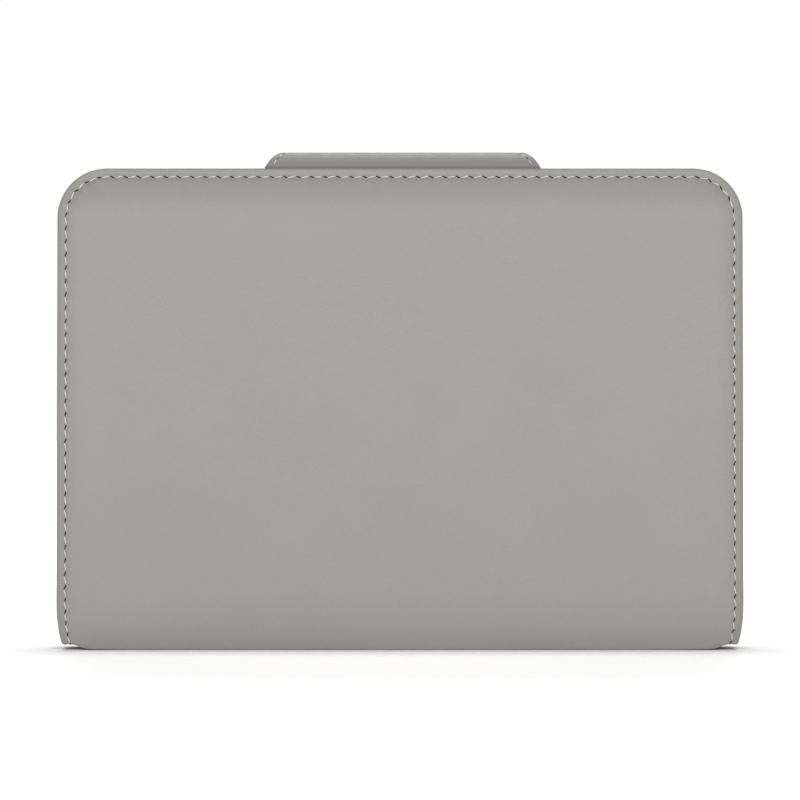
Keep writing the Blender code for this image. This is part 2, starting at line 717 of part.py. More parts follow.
def build_plate(front_fold, foam):
    """The steel plate that the magnet holds to, in a window in the front cover's foam."""
    middle = HEIGHT + GAP - (FLAP_LENGTH - MAGNET_FROM_TIP)

    def outline(grow):
        half_x, half_z = MAGNET_LENGTH / 2 + grow, MAGNET_WIDTH / 2 + grow
        return [
            (-half_x, middle - half_z),
            (half_x, middle - half_z),
            (half_x, middle + half_z),
            (-half_x, middle + half_z),
        ]

    steel = plate(outline(0), FRONT, FOAM_IN - PLATE, FOAM_IN)
    add_piece("closure_plate", steel, STEEL, front_fold)
    hole = plate(outline(GAP), FRONT, FOAM_OUT - GAP, FOAM_IN + GAP)
    subtract(foam, add_piece("plate_window", hole, FOAM_WHITE, front_fold))


def cut_strap_slot(back_fold, skin):
    """Room for the strap's root in the back cover's hem, open at the fore edge."""
    half = STRAP_ROOT_HALF + GAP
    low, high = HEIGHT - STRAP_ROOT_LENGTH - GAP, HEIGHT + CUTTER_OVERRUN
    outline = [(-half, low), (half, low), (half, high), (-half, high)]
    slot = plate(outline, BACK, DROP + SKIN, LINING_OUT)
    subtract(skin, add_piece("strap_slot", slot, PU_GREY, back_fold))


def main():
    clear_scene()
    build_spine()
    back_fold = fold_empty("back_cover_fold", None, (0, -FOLD_Y, FOLD_Z), -LEAN)
    front_fold = fold_empty("front_cover_fold", None, (0, FOLD_Y, FOLD_Z), LEAN)
    back_skin, _ = build_cover(BACK, "back", back_fold)
    _, front_foam = build_cover(FRONT, "front", front_fold)
    cut_strap_slot(back_fold, back_skin)
    build_pad_pocket(back_fold)
    build_pad(back_fold)
    build_document_pocket(front_fold)
    build_card_slots(front_fold)
    build_plate(front_fold, front_foam)
    build_strap(back_fold)


main()
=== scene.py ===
"""A junior padfolio, closed and standing on its spine: soft skin, stitching, linings, pockets and pad.

X runs along the spine, Y goes from the back cover to the front cover and Z is up.
A cover's pieces are laid out flat first: x along the spine, and u from the middle of the spine
to the fore edge. Depth is measured inwards from the middle of a cover's outer face.
"""

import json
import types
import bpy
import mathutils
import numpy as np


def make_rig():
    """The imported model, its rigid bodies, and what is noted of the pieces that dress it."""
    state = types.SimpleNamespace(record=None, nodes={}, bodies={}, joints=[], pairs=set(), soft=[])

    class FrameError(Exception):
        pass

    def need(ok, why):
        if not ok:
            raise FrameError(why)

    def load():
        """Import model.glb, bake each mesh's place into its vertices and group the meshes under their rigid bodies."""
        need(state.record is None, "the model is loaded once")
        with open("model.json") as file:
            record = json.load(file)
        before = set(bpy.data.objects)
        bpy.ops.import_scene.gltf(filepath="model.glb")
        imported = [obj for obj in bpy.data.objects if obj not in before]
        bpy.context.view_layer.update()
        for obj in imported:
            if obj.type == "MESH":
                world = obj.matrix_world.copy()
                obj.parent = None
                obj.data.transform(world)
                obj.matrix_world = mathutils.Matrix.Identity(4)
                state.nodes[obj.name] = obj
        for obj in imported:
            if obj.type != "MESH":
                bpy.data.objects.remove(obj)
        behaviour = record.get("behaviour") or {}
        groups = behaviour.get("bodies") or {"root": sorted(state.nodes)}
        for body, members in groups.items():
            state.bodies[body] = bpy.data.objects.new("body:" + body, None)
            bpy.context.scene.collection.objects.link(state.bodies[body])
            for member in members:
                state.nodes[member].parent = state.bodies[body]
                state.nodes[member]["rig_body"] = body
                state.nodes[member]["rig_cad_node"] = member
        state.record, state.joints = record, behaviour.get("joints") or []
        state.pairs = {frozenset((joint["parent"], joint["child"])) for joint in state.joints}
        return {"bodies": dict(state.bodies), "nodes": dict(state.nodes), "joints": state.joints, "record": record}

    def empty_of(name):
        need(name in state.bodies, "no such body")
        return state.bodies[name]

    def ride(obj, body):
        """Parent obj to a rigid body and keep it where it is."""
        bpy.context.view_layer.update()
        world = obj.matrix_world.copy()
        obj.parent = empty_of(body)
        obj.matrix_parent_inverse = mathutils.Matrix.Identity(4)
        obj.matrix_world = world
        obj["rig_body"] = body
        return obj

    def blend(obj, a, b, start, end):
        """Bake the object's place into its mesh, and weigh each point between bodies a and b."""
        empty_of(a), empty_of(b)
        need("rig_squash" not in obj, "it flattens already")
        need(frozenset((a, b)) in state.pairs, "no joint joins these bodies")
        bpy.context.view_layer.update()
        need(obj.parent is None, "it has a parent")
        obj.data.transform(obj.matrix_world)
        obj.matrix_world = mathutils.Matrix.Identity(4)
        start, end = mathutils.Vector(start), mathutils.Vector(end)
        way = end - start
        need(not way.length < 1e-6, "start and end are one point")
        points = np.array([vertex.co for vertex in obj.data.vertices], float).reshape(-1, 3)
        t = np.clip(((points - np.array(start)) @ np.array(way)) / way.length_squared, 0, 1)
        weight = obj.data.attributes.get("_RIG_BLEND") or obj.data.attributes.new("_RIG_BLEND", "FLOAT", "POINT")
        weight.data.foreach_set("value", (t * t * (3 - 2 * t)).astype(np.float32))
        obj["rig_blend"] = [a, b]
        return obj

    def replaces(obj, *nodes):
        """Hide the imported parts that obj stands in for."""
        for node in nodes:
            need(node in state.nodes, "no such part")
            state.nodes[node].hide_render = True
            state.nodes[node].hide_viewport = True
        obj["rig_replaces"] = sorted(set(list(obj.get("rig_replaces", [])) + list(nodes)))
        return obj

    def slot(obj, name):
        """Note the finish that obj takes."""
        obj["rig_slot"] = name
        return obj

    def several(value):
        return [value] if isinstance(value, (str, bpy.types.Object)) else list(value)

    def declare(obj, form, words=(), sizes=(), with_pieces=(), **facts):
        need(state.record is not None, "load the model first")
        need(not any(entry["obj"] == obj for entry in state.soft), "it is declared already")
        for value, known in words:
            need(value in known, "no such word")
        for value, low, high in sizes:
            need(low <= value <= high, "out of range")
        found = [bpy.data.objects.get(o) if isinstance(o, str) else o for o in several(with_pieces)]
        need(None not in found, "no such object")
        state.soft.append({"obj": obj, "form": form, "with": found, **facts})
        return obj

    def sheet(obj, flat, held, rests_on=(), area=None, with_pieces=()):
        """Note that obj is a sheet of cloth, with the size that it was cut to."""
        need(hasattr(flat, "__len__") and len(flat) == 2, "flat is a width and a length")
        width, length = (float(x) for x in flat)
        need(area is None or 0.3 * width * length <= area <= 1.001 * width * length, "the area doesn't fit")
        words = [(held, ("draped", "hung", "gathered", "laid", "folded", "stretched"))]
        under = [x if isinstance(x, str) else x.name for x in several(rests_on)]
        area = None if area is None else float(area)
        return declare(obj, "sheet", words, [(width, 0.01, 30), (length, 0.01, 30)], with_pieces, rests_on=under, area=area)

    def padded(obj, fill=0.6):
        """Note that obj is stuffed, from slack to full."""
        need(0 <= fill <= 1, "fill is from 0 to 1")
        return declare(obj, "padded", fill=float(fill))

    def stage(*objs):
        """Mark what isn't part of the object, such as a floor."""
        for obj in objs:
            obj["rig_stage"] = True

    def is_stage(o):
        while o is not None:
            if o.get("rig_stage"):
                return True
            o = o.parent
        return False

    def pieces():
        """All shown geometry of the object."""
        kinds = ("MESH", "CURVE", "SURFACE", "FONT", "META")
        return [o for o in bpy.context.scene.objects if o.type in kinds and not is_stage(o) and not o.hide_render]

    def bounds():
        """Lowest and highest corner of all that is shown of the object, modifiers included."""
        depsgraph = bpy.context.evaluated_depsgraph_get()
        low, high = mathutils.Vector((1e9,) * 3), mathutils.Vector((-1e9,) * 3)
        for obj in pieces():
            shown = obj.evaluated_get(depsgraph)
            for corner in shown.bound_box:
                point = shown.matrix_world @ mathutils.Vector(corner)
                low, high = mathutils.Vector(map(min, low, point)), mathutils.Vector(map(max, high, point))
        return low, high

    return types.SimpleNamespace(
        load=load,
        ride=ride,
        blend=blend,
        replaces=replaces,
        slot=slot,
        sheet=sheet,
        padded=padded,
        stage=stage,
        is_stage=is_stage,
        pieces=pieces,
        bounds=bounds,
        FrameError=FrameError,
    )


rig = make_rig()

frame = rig.load()

import json
import math

import bmesh
import bpy
import numpy as np
from mathutils import Matrix, Vector, noise

CAD_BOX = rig.bounds()

MM = 0.001
BACK, FRONT = -1, 1
COVER_BODY = {BACK: "back_cover", FRONT: "front_cover"}
COVER_NAME = {BACK: "back", FRONT: "front"}

# The cover's layers and outline
END = 117.5 * MM  # half the length
HEIGHT = 165.2 * MM
HALF = 13.5 * MM  # half the thickness
CORNER = 17 * MM
MERGE = 0.001 * MM  # points closer than this are one
SKIN = 1 * MM
FOAM_IN = 2.3 * MM
HEM_IN = 4.1 * MM
LINING_OUT = 4.4 * MM
COVER = 5 * MM
HEM_WIDTH = 7 * MM
LINING_INSET = 1.5 * MM
GAP = 0.3 * MM

# Padding
DROP = 1.6 * MM  # sewn edge below the middle of the face
SPINE_DROP = 0.25 * MM  # more of it at the spine's ends
LAND = 3.5 * MM  # flat edge outside the padding
STEEP = 6.5 * MM  # where most of the padding has swollen
STEEP_POWER = 2.5
SPINE_STEEP = 6 * MM  # the same slope at the spine's ends
BROAD = 28 * MM  # where it is full
BROAD_SHARE = 0.22
RIM_OUT = 1.15 * MM  # rounding of the turned edge
RIM_IN = 0.9 * MM
SWELL = 0.16 * MM  # unevenness of the padded face
SWELL_SIZE = 34 * MM

# Lining and spine board
LINING_DIP = 0.1 * MM  # at its seam
LINING_DIP_WIDTH = 0.8 * MM
RIPPLE = 0.12 * MM  # creases in the gutter
RIPPLE_SIZE = 7 * MM
RIPPLE_LONG = 4  # times longer along the spine
RIPPLE_FADE = 3  # gutter corners until they fade
SPINE_BOARD_HALF = 8 * MM
SPINE_BOARD_IN = 8 * MM  # short of the skin at its ends
BOARD_EDGE = 0.3 * MM

# The soft roll round the spine
ROLL_WIDTH = 5 * MM
ROLL_RISE = 20 * MM
ROLL_TIGHT = 0.5 * MM  # radius next to the floor, under the wide soft curve
ROLL_LEAST = 0.5 * MM
GUTTER_ROLL = 3.2 * MM
SPINE_PULL = 1.5 * MM  # how far the spine's ends draw in

# Stitching
PITCH = 4.55 * MM
SEAM = 3 * MM  # in from the edge
THREAD = (3 * MM, 0.42 * MM, 0.4 * MM)  # length, width, height of one stitch
THREAD_TILT = math.radians(10)
THREAD_SHARE = 0.36  # of a pitch: where its middle lies
# a near-black bead that paints the shadow in a needle hole
NEEDLE = (1.9 * MM, 0.5 * MM, 0.18 * MM)
NEEDLE_TILT = math.radians(-17)
NEEDLE_SHARE = 0.86
LOOK_SHARE = 0.2  # of a pitch: how far on each side a stitch's direction is read
BEAD_SIDES, BEAD_RINGS = 7, 5
WOBBLE_STEP, WOBBLE_ROW = 0.7, 9  # where in the noise a stitch's unevenness is read
WOBBLE_SHARE = 0.125  # how much of its length varies
SUNK = 0.12 * MM  # how far the lining's threads are pulled in
SEAM_DIP = 0.22 * MM
SEAM_DIP_WIDTH = 0.75 * MM
PUCKER = 0.1 * MM
PUCKER_REACH = 2.2 * MM

# Painted shade on the leather, in bands where shade falls; the rims are partly burnished too
RIM_WEAR_AND_SHADE_BAND = 2.6 * MM
EDGE_BAND = 0.7 * MM  # painted shade along the upper edge
TOP_BAND = 5 * MM
VALLEY_IN = 2.5 * MM  # from the upper seam to the middle of the painted shade band under it
VALLEY_WIDTH = 6 * MM

# Strap
STRAP_HALF = 0.7 * MM
FLAP_HALF = 1.35 * MM
STRAP_DEPTH = 3.5 * MM
STRAP_ROOT = 6.2 * MM
STRAP_ROOT_HALF = 47.4 * MM
STRAP_TIP_HALF = 31.5 * MM
STRAP_TIP_RADIUS = 9 * MM
ARCH_RISE = 5 * MM
FLAP_LENGTH = 29.2 * MM
STRAP_SHIFT = 0.9 * MM  # sewn in a little off the middle
CREASE_SHADOW = 1.1 * MM  # painted shadow line where the strap leaves the cover
STRAP_SEAM = 2.5 * MM
STRAP_SEAM_START = 0.6 * MM
STRAP_DIP = 0.14 * MM
STRAP_DIP_WIDTH = 0.5 * MM
STRAP_EDGE = 0.6 * MM
STRAP_FINER = 0.7  # its stitches against the cover's
STRAP_SLOT_HALF = 49.5 * MM
TIP_MARGIN = 1 * MM
FLAP_FROM_SHARE = 0.6  # of the arch: where it starts to thicken
FLAP_RIM_SHARE = 0.4  # of that, outside the seam
PLUMP = 2 * MM  # from the seam to where it is full
PLATE_HALF = (22.5 * MM, 6 * MM)
PLATE_MIDDLE = 146.3 * MM

# Pad
PAD_LOW, PAD_HIGH = 24 * MM, 151 * MM
PAD_HALF = 101.5 * MM
PAD_TOP = 9.6 * MM  # depth of the top leaf
PAD_ON_PANEL = 7.2 * MM  # depth of the lowest leaf over the pocket, and past it
PAD_ON_BACKING = 6.3 * MM
DIP = 7 * MM  # the leaves dip over this much on each side of the pocket's edge
DIP_LINES = 9
LEAVES = 26
LEAF_SHARE = 0.86  # of the pitch of the leaves: paper, and the rest is air
LEAF_SHIFT = 0.12 * MM  # how unevenly they lie
LEAF_ROWS = (0.3, 5.3)  # where in the noise that is read
TAPE_TOP = 9.95 * MM
TAPE_OUT = 0.35 * MM
TAPE_REACH = 14 * MM  # over the top leaf
TAPE_CORNER = 0.5 * MM
TAPE_HALF = 0.15 * MM  # half its thickness
TAPE_LOOK = 0.05 * MM  # how far on each side its direction is read

# Pockets and pen loop
PANEL_LOW = 18 * MM
PANEL_LAND = 2.5 * MM
PANEL_SLOPE = 2.5 * MM
SLOPE_STEPS = 4
TURNED_RINGS = (0.15 * MM, 0.4 * MM)  # over a thick panel's turned edge
THIN_RINGS = (0.1 * MM, 0.25 * MM)
PANEL_OUT = 6.3 * MM
PAD_PANEL = 0.6 * MM
PAD_PANEL_END = -15 * MM
PAD_PANEL_SEAM = 1.3 * MM
POCKET = 0.5 * MM
POCKET_END = 52 * MM
POCKET_SEAM = 1.6 * MM
NOTCH_RADIUS = 13 * MM
NOTCH_STEPS = 24
NOTCH_SHORT = 7  # degrees of it left bare at each end of its seam
CARD_COUNT = 3
CARD_PANEL = 0.4 * MM
CARD_BOND = 0.2 * MM  # glue under the lowest panel
CARD_PITCH = 0.6 * MM
CARD_LEFT = -103.5 * MM
CARD_HALF = 47 * MM
CARD_CORNER = 4 * MM
CARD_CORNER_STEPS = 8
CARD_RIGHT = -25.5 * MM
CARD_STEP = 14 * MM
CARD_SEAM = 1.2 * MM
LOOP_HALF = 6.8 * MM
LOOP_FOOT = 4 * MM  # radius of the loop's lower corners
LOOP_LENGTH = 22 * MM
LOOP_RIB = 0.06 * MM
LOOP_RIB_PITCH = 1.4 * MM
ELASTIC = 0.8 * MM
TACK = (1.7 * MM, 0.5 * MM, 0.22 * MM)
TACK_PITCH = 0.55 * MM
TACK_AT = 8 * MM
TACK_HALF = 1.9 * MM

# Where the soft pieces start and stop following the next body, out and up
SKIN_BEND = (9 * MM, 0.3 * MM), (13 * MM, 7 * MM)
LINING_BEND = (5.4 * MM, COVER), (8.6 * MM, 13 * MM)
ROOT_BEND_TOP = 167 * MM
FLAP_BEND = (9 * MM, 167 * MM), (11.4 * MM, 161.5 * MM)

# How fine the meshes are: along an edge, the step of the lines and how far in they go
SKIN_RIM = 0.45 * MM, 5.6 * MM
LINING_RIM = 1.2 * MM, 4 * MM
STRAP_RIM = 0.5 * MM, 4.6 * MM
LOOP_RIM = 0.3 * MM, 1.2 * MM
SKIN_STEP = PITCH / 4
LINING_ACROSS, LINING_UP = 2.4 * MM, 1.3 * MM
STRAP_ACROSS, STRAP_ALONG = 1.6 * MM, 0.7 * MM
LOOP_STEP = 0.4 * MM
LOOP_STEPS = 72  # once round it
TAPE_STEP = 4 * MM
TAPE_CORNER_STEPS = 6
FOLD_REACH = 2 * MM  # the skin's lines lie closer up to here
FOLD_STEP = 0.2 * MM
ROLL_SAMPLES = 64
EDGE_STEPS = 4  # over an edge's rounding

# How much of the darker colour the leather takes on: clouding and speckle are its own tone, the valley, seam and
# crease marks are painted shade, the rim partly burnished and partly painted shade
CLOUD_SHARE = 0.06
SPECK_SHARE = 0.1
VALLEY_SHADE_SHARE = 0.4
SEAM_SHADE_SHARE = 0.15
RIM_WEAR_AND_SHADE_SHARE = 0.32
CREASE_SHADE_SHARE = 1.0
EDGE_SHARE = 0.85  # of the painted crease shade, along the upper edge
BEND_SHADE_SHARE = 0.7  # of the painted crease shade, where the strap starts to bend

# Depth of each finish's grain, weave, ribs or scratches
RELIEF = {
    "leather": 0.05 * MM,
    "thread": 0.05 * MM,
    "lining": 0.12 * MM,
    "board": 0.06 * MM,
    "paper": 0.02 * MM,
    "elastic": 0.15 * MM,
    "tape": 0.05 * MM,
    "core": 0.03 * MM,
    "magnet": 0.04 * MM,
    "steel": 0.01 * MM,
}
PER_MM = (1 / MM,) * 3  # patterns are measured in millimetres
BRUSHED = (40, 1500, 3000)  # the steel's scratches run along the plate
PLY_TURN = 0.6  # of the twist in a thread
TWILL_TURN = math.radians(50)

# The top leaf's rules
RULE_PITCH = 7.1 * MM
RULE_SHARE = 0.035  # of the pitch: a rule's width
RULE_SHIFT = 200 * MM  # makes every place positive
HEAD_RULE = 70 * MM  # where they stop, short of the head

# Studio
SCALE = 0.3411 * MM  # of the photograph's pixel, at the back cover's face
IMAGE_WIDTH = 800
CAMERA_AWAY = 1.2
CAMERA_UP = 85.65 * MM
SENSOR = 36.0
FLOOR_RADIUS = 6
FLOOR_BELOW = 0.02 * MM
FLOOR_SEEN = 1.15  # brightness of the floor's paint as it is seen
FLOOR_BOUNCE = 0.9  # and as it lights the padfolio
GLOW_NEAR, GLOW_FAR = 0.25, 0.8  # from where and to where the seen floor brightens by itself
DOME = 0.2
LAMPS = (  # name, place, width and depth, power
    ("front", (0, -1.4, 0.83), (1.4, 0.9), 15.1),
    ("top", (0, 0.115, 1.3), (0.9, 0.2), 5.6),
    ("left", (-1.3, -0.2, 0.5), (0.8, 0.8), 0.8),
    ("right", (1.3, -0.2, 0.5), (0.8, 0.8), 0.8),
    ("behind", (0, 0.9, 1.1), (0.9, 0.4), 6.0),
)

# Where the frame puts the folds
JOINTS = {joint["name"]: joint for joint in frame["joints"]}
MOUNTS = {mount["name"]: mount for mount in frame["record"]["mounts"]}
FOLD_Y, FOLD_Z = JOINTS["front_cover_fold"]["pos_m"][1:]
LEAN = math.asin(MOUNTS["back_face"]["axis"][2])


def clamp(value, low=0.0, high=1.0):
    return min(max(value, low), high)


def smooth(share):
    """0 to 1 along an S curve."""
    share = clamp(share)
    return share * share * (3 - 2 * share)


def hill(distance, width):
    """1 at no distance, falling away over the width."""
    return math.exp(-((distance / width) ** 2))


def rounded(distance, radius):
    """How far a quarter round has fallen back at that distance from its edge, as a share of its radius."""
    turned = clamp(1 - distance / radius)
    return 1 - math.sqrt(1 - turned**2)


def run_lengths(points):
    """How far along a line each of its points is."""
    return np.concatenate(([0.0], np.cumsum(np.hypot(*np.diff(points, axis=0).T))))


def at_run(points, runs, run):
    """The point at that distance along a line."""
    return np.array([np.interp(run, runs, points[:, i]) for i in range(2)])


# Places


def leaned(side, x, across, up, share=1.0):
    """The world place of an upright cover's point once the cover leans in by a share of its lean."""
    turn = side * LEAN * share
    y, z = side * (across - FOLD_Y), up - FOLD_Z
    return Vector((
        x,
        side * FOLD_Y + y * math.cos(turn) - z * math.sin(turn),
        FOLD_Z + y * math.sin(turn) + z * math.cos(turn),
    ))


def on_cover(side, x, z, depth):
    """A point of the flat part of a cover."""
    return leaned(side, x, HALF - depth, z)


class Roll:
    """A sheet pattern that runs under the spine, round its soft corner and up a cover."""

    def __init__(self, width, rise, tight, depth, pull):
        self.width, self.rise, self.tight, self.depth, self.pull = width, rise, tight, depth, pull
        self.turns = np.linspace(0, math.pi / 2, ROLL_SAMPLES)
        self.runs = run_lengths(np.array([self.curve(turn, 0) for turn in self.turns]))
        self.base = HALF - depth - width
        self.length = float(self.runs[-1])
        self.full = self.base + self.length + HEIGHT - depth - rise

    def curve(self, turn, inset):
        """A point of the corner's section, across from the flat underside and up."""
        width, rise = max(self.width - inset, ROLL_LEAST), self.rise - inset
        tight = min(max(self.tight - inset, ROLL_LEAST), width)
        up = rise * (1 - math.cos(turn))
        return width - (width - tight) * math.cos(turn) ** 2 - tight * rounded(up, tight), up

    def place(self, side, x, u, depth):
        turn = float(np.interp(u - self.base, self.runs, self.turns))
        inset = depth - self.depth
        flat = HALF - depth - max(self.width - inset, ROLL_LEAST)
        across, up = self.curve(turn, inset)
        across += flat * min(u / self.base, 1)
        up += depth + max(u - self.base - self.length, 0)
        pulled = x * (1 - self.pull * math.cos(turn) ** 3 / END)
        return leaned(side, pulled, across, up, smooth((u - self.base) / self.length))


OUTER = Roll(ROLL_WIDTH, ROLL_RISE, ROLL_TIGHT, 0, SPINE_PULL)
INNER = Roll(GUTTER_ROLL, GUTTER_ROLL, GUTTER_ROLL, COVER, SPINE_PULL)


def round_corner(x, u, half, high, radius):
    """Moves a point of a square upper corner onto the round one, keeping its distance to the edge."""
    over_x, over_u = abs(x) - half + radius, u - high + radius
    if min(over_x, over_u) <= 0:
        return x, u
    reach = max(over_x, over_u)
    turn = math.pi / 4 * min(over_x, over_u) / reach
    if over_u > over_x:
        turn = math.pi / 2 - turn
    return math.copysign(half - radius + reach * math.cos(turn), x), high - radius + reach * math.sin(turn)


def edge_distance(x, u, half, high, radius):
    """How far inside a three-sided outline with round upper corners a point is."""
    over_x, over_u = abs(x) - half + radius, u - high + radius
    outside = math.hypot(max(over_x, 0), max(over_u, 0))
    return radius - outside - min(max(over_x, over_u), 0)


def arc(x, u, radius, start, end, steps=12):
    """Points of an arc, angles in degrees, both ends included."""
    turns = [math.radians(start + (end - start) * i / steps) for i in range(steps + 1)]
    return [(x + radius * math.cos(turn), u + radius * math.sin(turn)) for turn in turns]


def three_sides(half, low, high, radius):
    """A line up the left side, along the top and down the right side, with round corners."""
    left = arc(radius - half, high - radius, radius, 180, 90)
    right = arc(half - radius, high - radius, radius, 90, 0)
    return [(-half, low), *left, *right, (half, low)]


# Meshes


def edge_lines(radius, fine, reach):
    """Distances in from an edge: close over its rounding, then even."""
    rounding = [radius * (1 - math.cos(math.pi / 2 * i / EDGE_STEPS)) for i in range(EDGE_STEPS + 1)]
    count = round((reach - radius) / fine)
    return rounding + [radius + (reach - radius) * (i + 1) / count for i in range(count)]


def even_lines(low, high, step):
    return list(np.linspace(low, high, max(round((high - low) / step), 1) + 1))[1:-1]


def across_lines(half, lines, step):
    """Lines over the whole width, closer along both edges."""
    reach = lines[-1]
    left = [line - half for line in lines]
    return left + even_lines(reach - half, half - reach, step) + [-x for x in reversed(left)]


def up_lines(low, high, lines, step):
    """Lines from the low end up, closer along the upper edge."""
    return [low, *even_lines(low, high - lines[-1], step), *[high - line for line in reversed(lines)]]


def closer_lines(lines, low, high, step):
    """The same lines, but a step apart from the low place to the high one."""
    outside = [line for line in lines if not low - step < line < high + step]
    return sorted([*outside, *np.linspace(low, high, round((high - low) / step) + 1)])


def ruled_grid(x_lines, u_lines, place=None):
    """A flat grid with its lines at those places."""
    sheet = bmesh.new()
    columns, rows = len(x_lines) - 1, len(u_lines) - 1
    bmesh.ops.create_grid(sheet, x_segments=columns, y_segments=rows, size=1)
    for vert in sheet.verts:
        column, row = round((vert.co.x + 1) / 2 * columns), round((vert.co.y + 1) / 2 * rows)
        x, u = x_lines[column], u_lines[row]
        vert.co = (*(place(x, u) if place else (x, u)), 0)
    return sheet


def outlined(outline, rings=()):
    """A flat sheet of any outline, with rings at these distances in from it."""
    sheet = bmesh.new()
    face = sheet.faces.new([sheet.verts.new((x, u, 0)) for x, u in outline])
    face.normal_update()
    if face.normal.z < 0:
        face.normal_flip()
    reached = 0
    for ring in rings:
        bmesh.ops.inset_region(
            sheet, faces=[face], thickness=ring - reached, use_boundary=True, use_even_offset=True
        )
        reached = ring
    return sheet


def flat_size(sheet):
    """The width, length and area of a sheet that still lies flat."""
    across, up = zip(*[vert.co.xy for vert in sheet.verts])
    area = sum(face.calc_area() for face in sheet.faces)
    return {"flat": (max(across) - min(across), max(up) - min(up)), "area": area}


def thicken(sheet, place, marks=None):
    """Doubles a flat sheet and puts its two faces in place. The flat layout stays as its UV map."""
    layout = sheet.loops.layers.uv.new("layout")
    for name in marks or {}:
        sheet.verts.layers.float.new(name)
    layers = {name: sheet.verts.layers.float[name] for name in marks or {}}
    outer = sheet.verts[:]
    made = bmesh.ops.extrude_face_region(sheet, geom=sheet.faces[:])["geom"]
    inner = [v for v in made if isinstance(v, bmesh.types.BMVert)]
    for face in sheet.faces:
        for loop in face.loops:
            loop[layout].uv = loop.vert.co.xy
    for name, layer in layers.items():
        for vert in sheet.verts:
            vert[layer] = marks[name](vert.co.x, vert.co.y)
    for verts, under in ((outer, False), (inner, True)):
        for vert in verts:
            vert.co = place(vert.co.x, vert.co.y, under)
    return sheet


def dress(name, sheet, finish, slot, replaces=(), body=None, bend=None, sharp=50):
    """Makes the bmesh a piece, gives it its finish and fixes it to its body or across a joint."""
    bmesh.ops.recalc_face_normals(sheet, faces=sheet.faces)
    mesh = bpy.data.meshes.new(name)
    sheet.to_mesh(mesh)
    sheet.free()
    mesh.materials.append(finish)
    mesh.shade_smooth()
    mesh.set_sharp_from_angle(angle=math.radians(sharp))
    piece = bpy.data.objects.new(name, mesh)
    bpy.context.collection.objects.link(piece)
    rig.slot(piece, slot)
    if replaces:
        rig.replaces(piece, *replaces)
    if bend:
        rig.blend(piece, *bend)
    else:
        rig.ride(piece, body)
    return piece


# Materials


class Finish:
    """A Principled material, and short words for the nodes that feed it."""

    def __init__(self, name, roughness, **sockets):
        self.material = bpy.data.materials.new(name)
        self.material.use_nodes = True
        self.tree = self.material.node_tree
        self.shader = self.tree.nodes["Principled BSDF"]
        self.shader.inputs["Roughness"].default_value = roughness
        for socket, value in sockets.items():
            self.shader.inputs[socket.replace("_", " ")].default_value = value

    def node(self, kind, sockets=None, **settings):
        made = self.tree.nodes.new(kind)
        for key, value in settings.items():
            setattr(made, key, value)
        for socket, value in (sockets or {}).items():
            self.feed(made.inputs[socket], value)
        return made

    def feed(self, socket, value):
        if isinstance(value, bpy.types.NodeSocket):
            self.tree.links.new(value, socket)
        else:
            socket.default_value = value

    def layout(self, turn=0.0):
        """The flat layout in millimetres, or turned."""
        return self.mapped(self.node("ShaderNodeUVMap", uv_map="layout").outputs["UV"], PER_MM, turn)

    def place(self, scale=PER_MM, turn=0.0):
        """The place on the object in millimetres, or scaled or turned."""
        return self.mapped(self.node("ShaderNodeTexCoord").outputs["Object"], scale, turn)

    def mapped(self, source, scale, turn):
        sockets = {"Vector": source, "Scale": scale, "Rotation": (0, 0, turn)}
        return self.node("ShaderNodeMapping", sockets).outputs["Vector"]

    def noise(self, vector, scale, detail=3.0, rough=0.5):
        sockets = {"Vector": vector, "Scale": scale, "Detail": detail, "Roughness": rough}
        return self.node("ShaderNodeTexNoise", sockets).outputs["Fac"]

    def pebbles(self, vector, scale):
        sockets = {"Vector": vector, "Scale": scale, "Smoothness": 0.6}
        return self.node("ShaderNodeTexVoronoi", sockets, feature="SMOOTH_F1").outputs["Distance"]

    def bands(self, vector, scale, direction="X", distortion=0.0):
        sockets = {"Vector": vector, "Scale": scale, "Distortion": distortion}
        kind = {"wave_type": "BANDS", "bands_direction": direction}
        return self.node("ShaderNodeTexWave", sockets, **kind).outputs["Fac"]

    def mark(self, name):
        return self.node("ShaderNodeAttribute", attribute_name=name).outputs["Fac"]

    def maths(self, operation, a, b=0.5):
        return self.node("ShaderNodeMath", {0: a, 1: b}, operation=operation).outputs[0]

    def spread(self, value, low, high, to_low=0.0, to_high=1.0):
        sockets = {"Value": value, "From Min": low, "From Max": high, "To Min": to_low, "To Max": to_high}
        return self.node("ShaderNodeMapRange", sockets).outputs["Result"]

    def mix(self, share, a, b):
        a, b = ((*tone, 1) if isinstance(tone, tuple) else tone for tone in (a, b))
        sockets = {"Factor": share, "A": a, "B": b}
        return self.node("ShaderNodeMix", sockets, data_type="RGBA").outputs["Result"]

    def colour(self, value):
        self.feed(self.shader.inputs["Base Color"], value)

    def rough(self, value):
        self.feed(self.shader.inputs["Roughness"], value)

    def bump(self, height, distance):
        made = self.node("ShaderNodeBump", {"Strength": 1, "Distance": distance, "Height": height})
        self.feed(self.shader.inputs["Normal"], made.outputs["Normal"])
        return self


def shade(red, green, blue):
    """A colour read off a screen, as light."""
    return tuple(((part / 255 + 0.055) / 1.055) ** 2.4 for part in (red, green, blue))


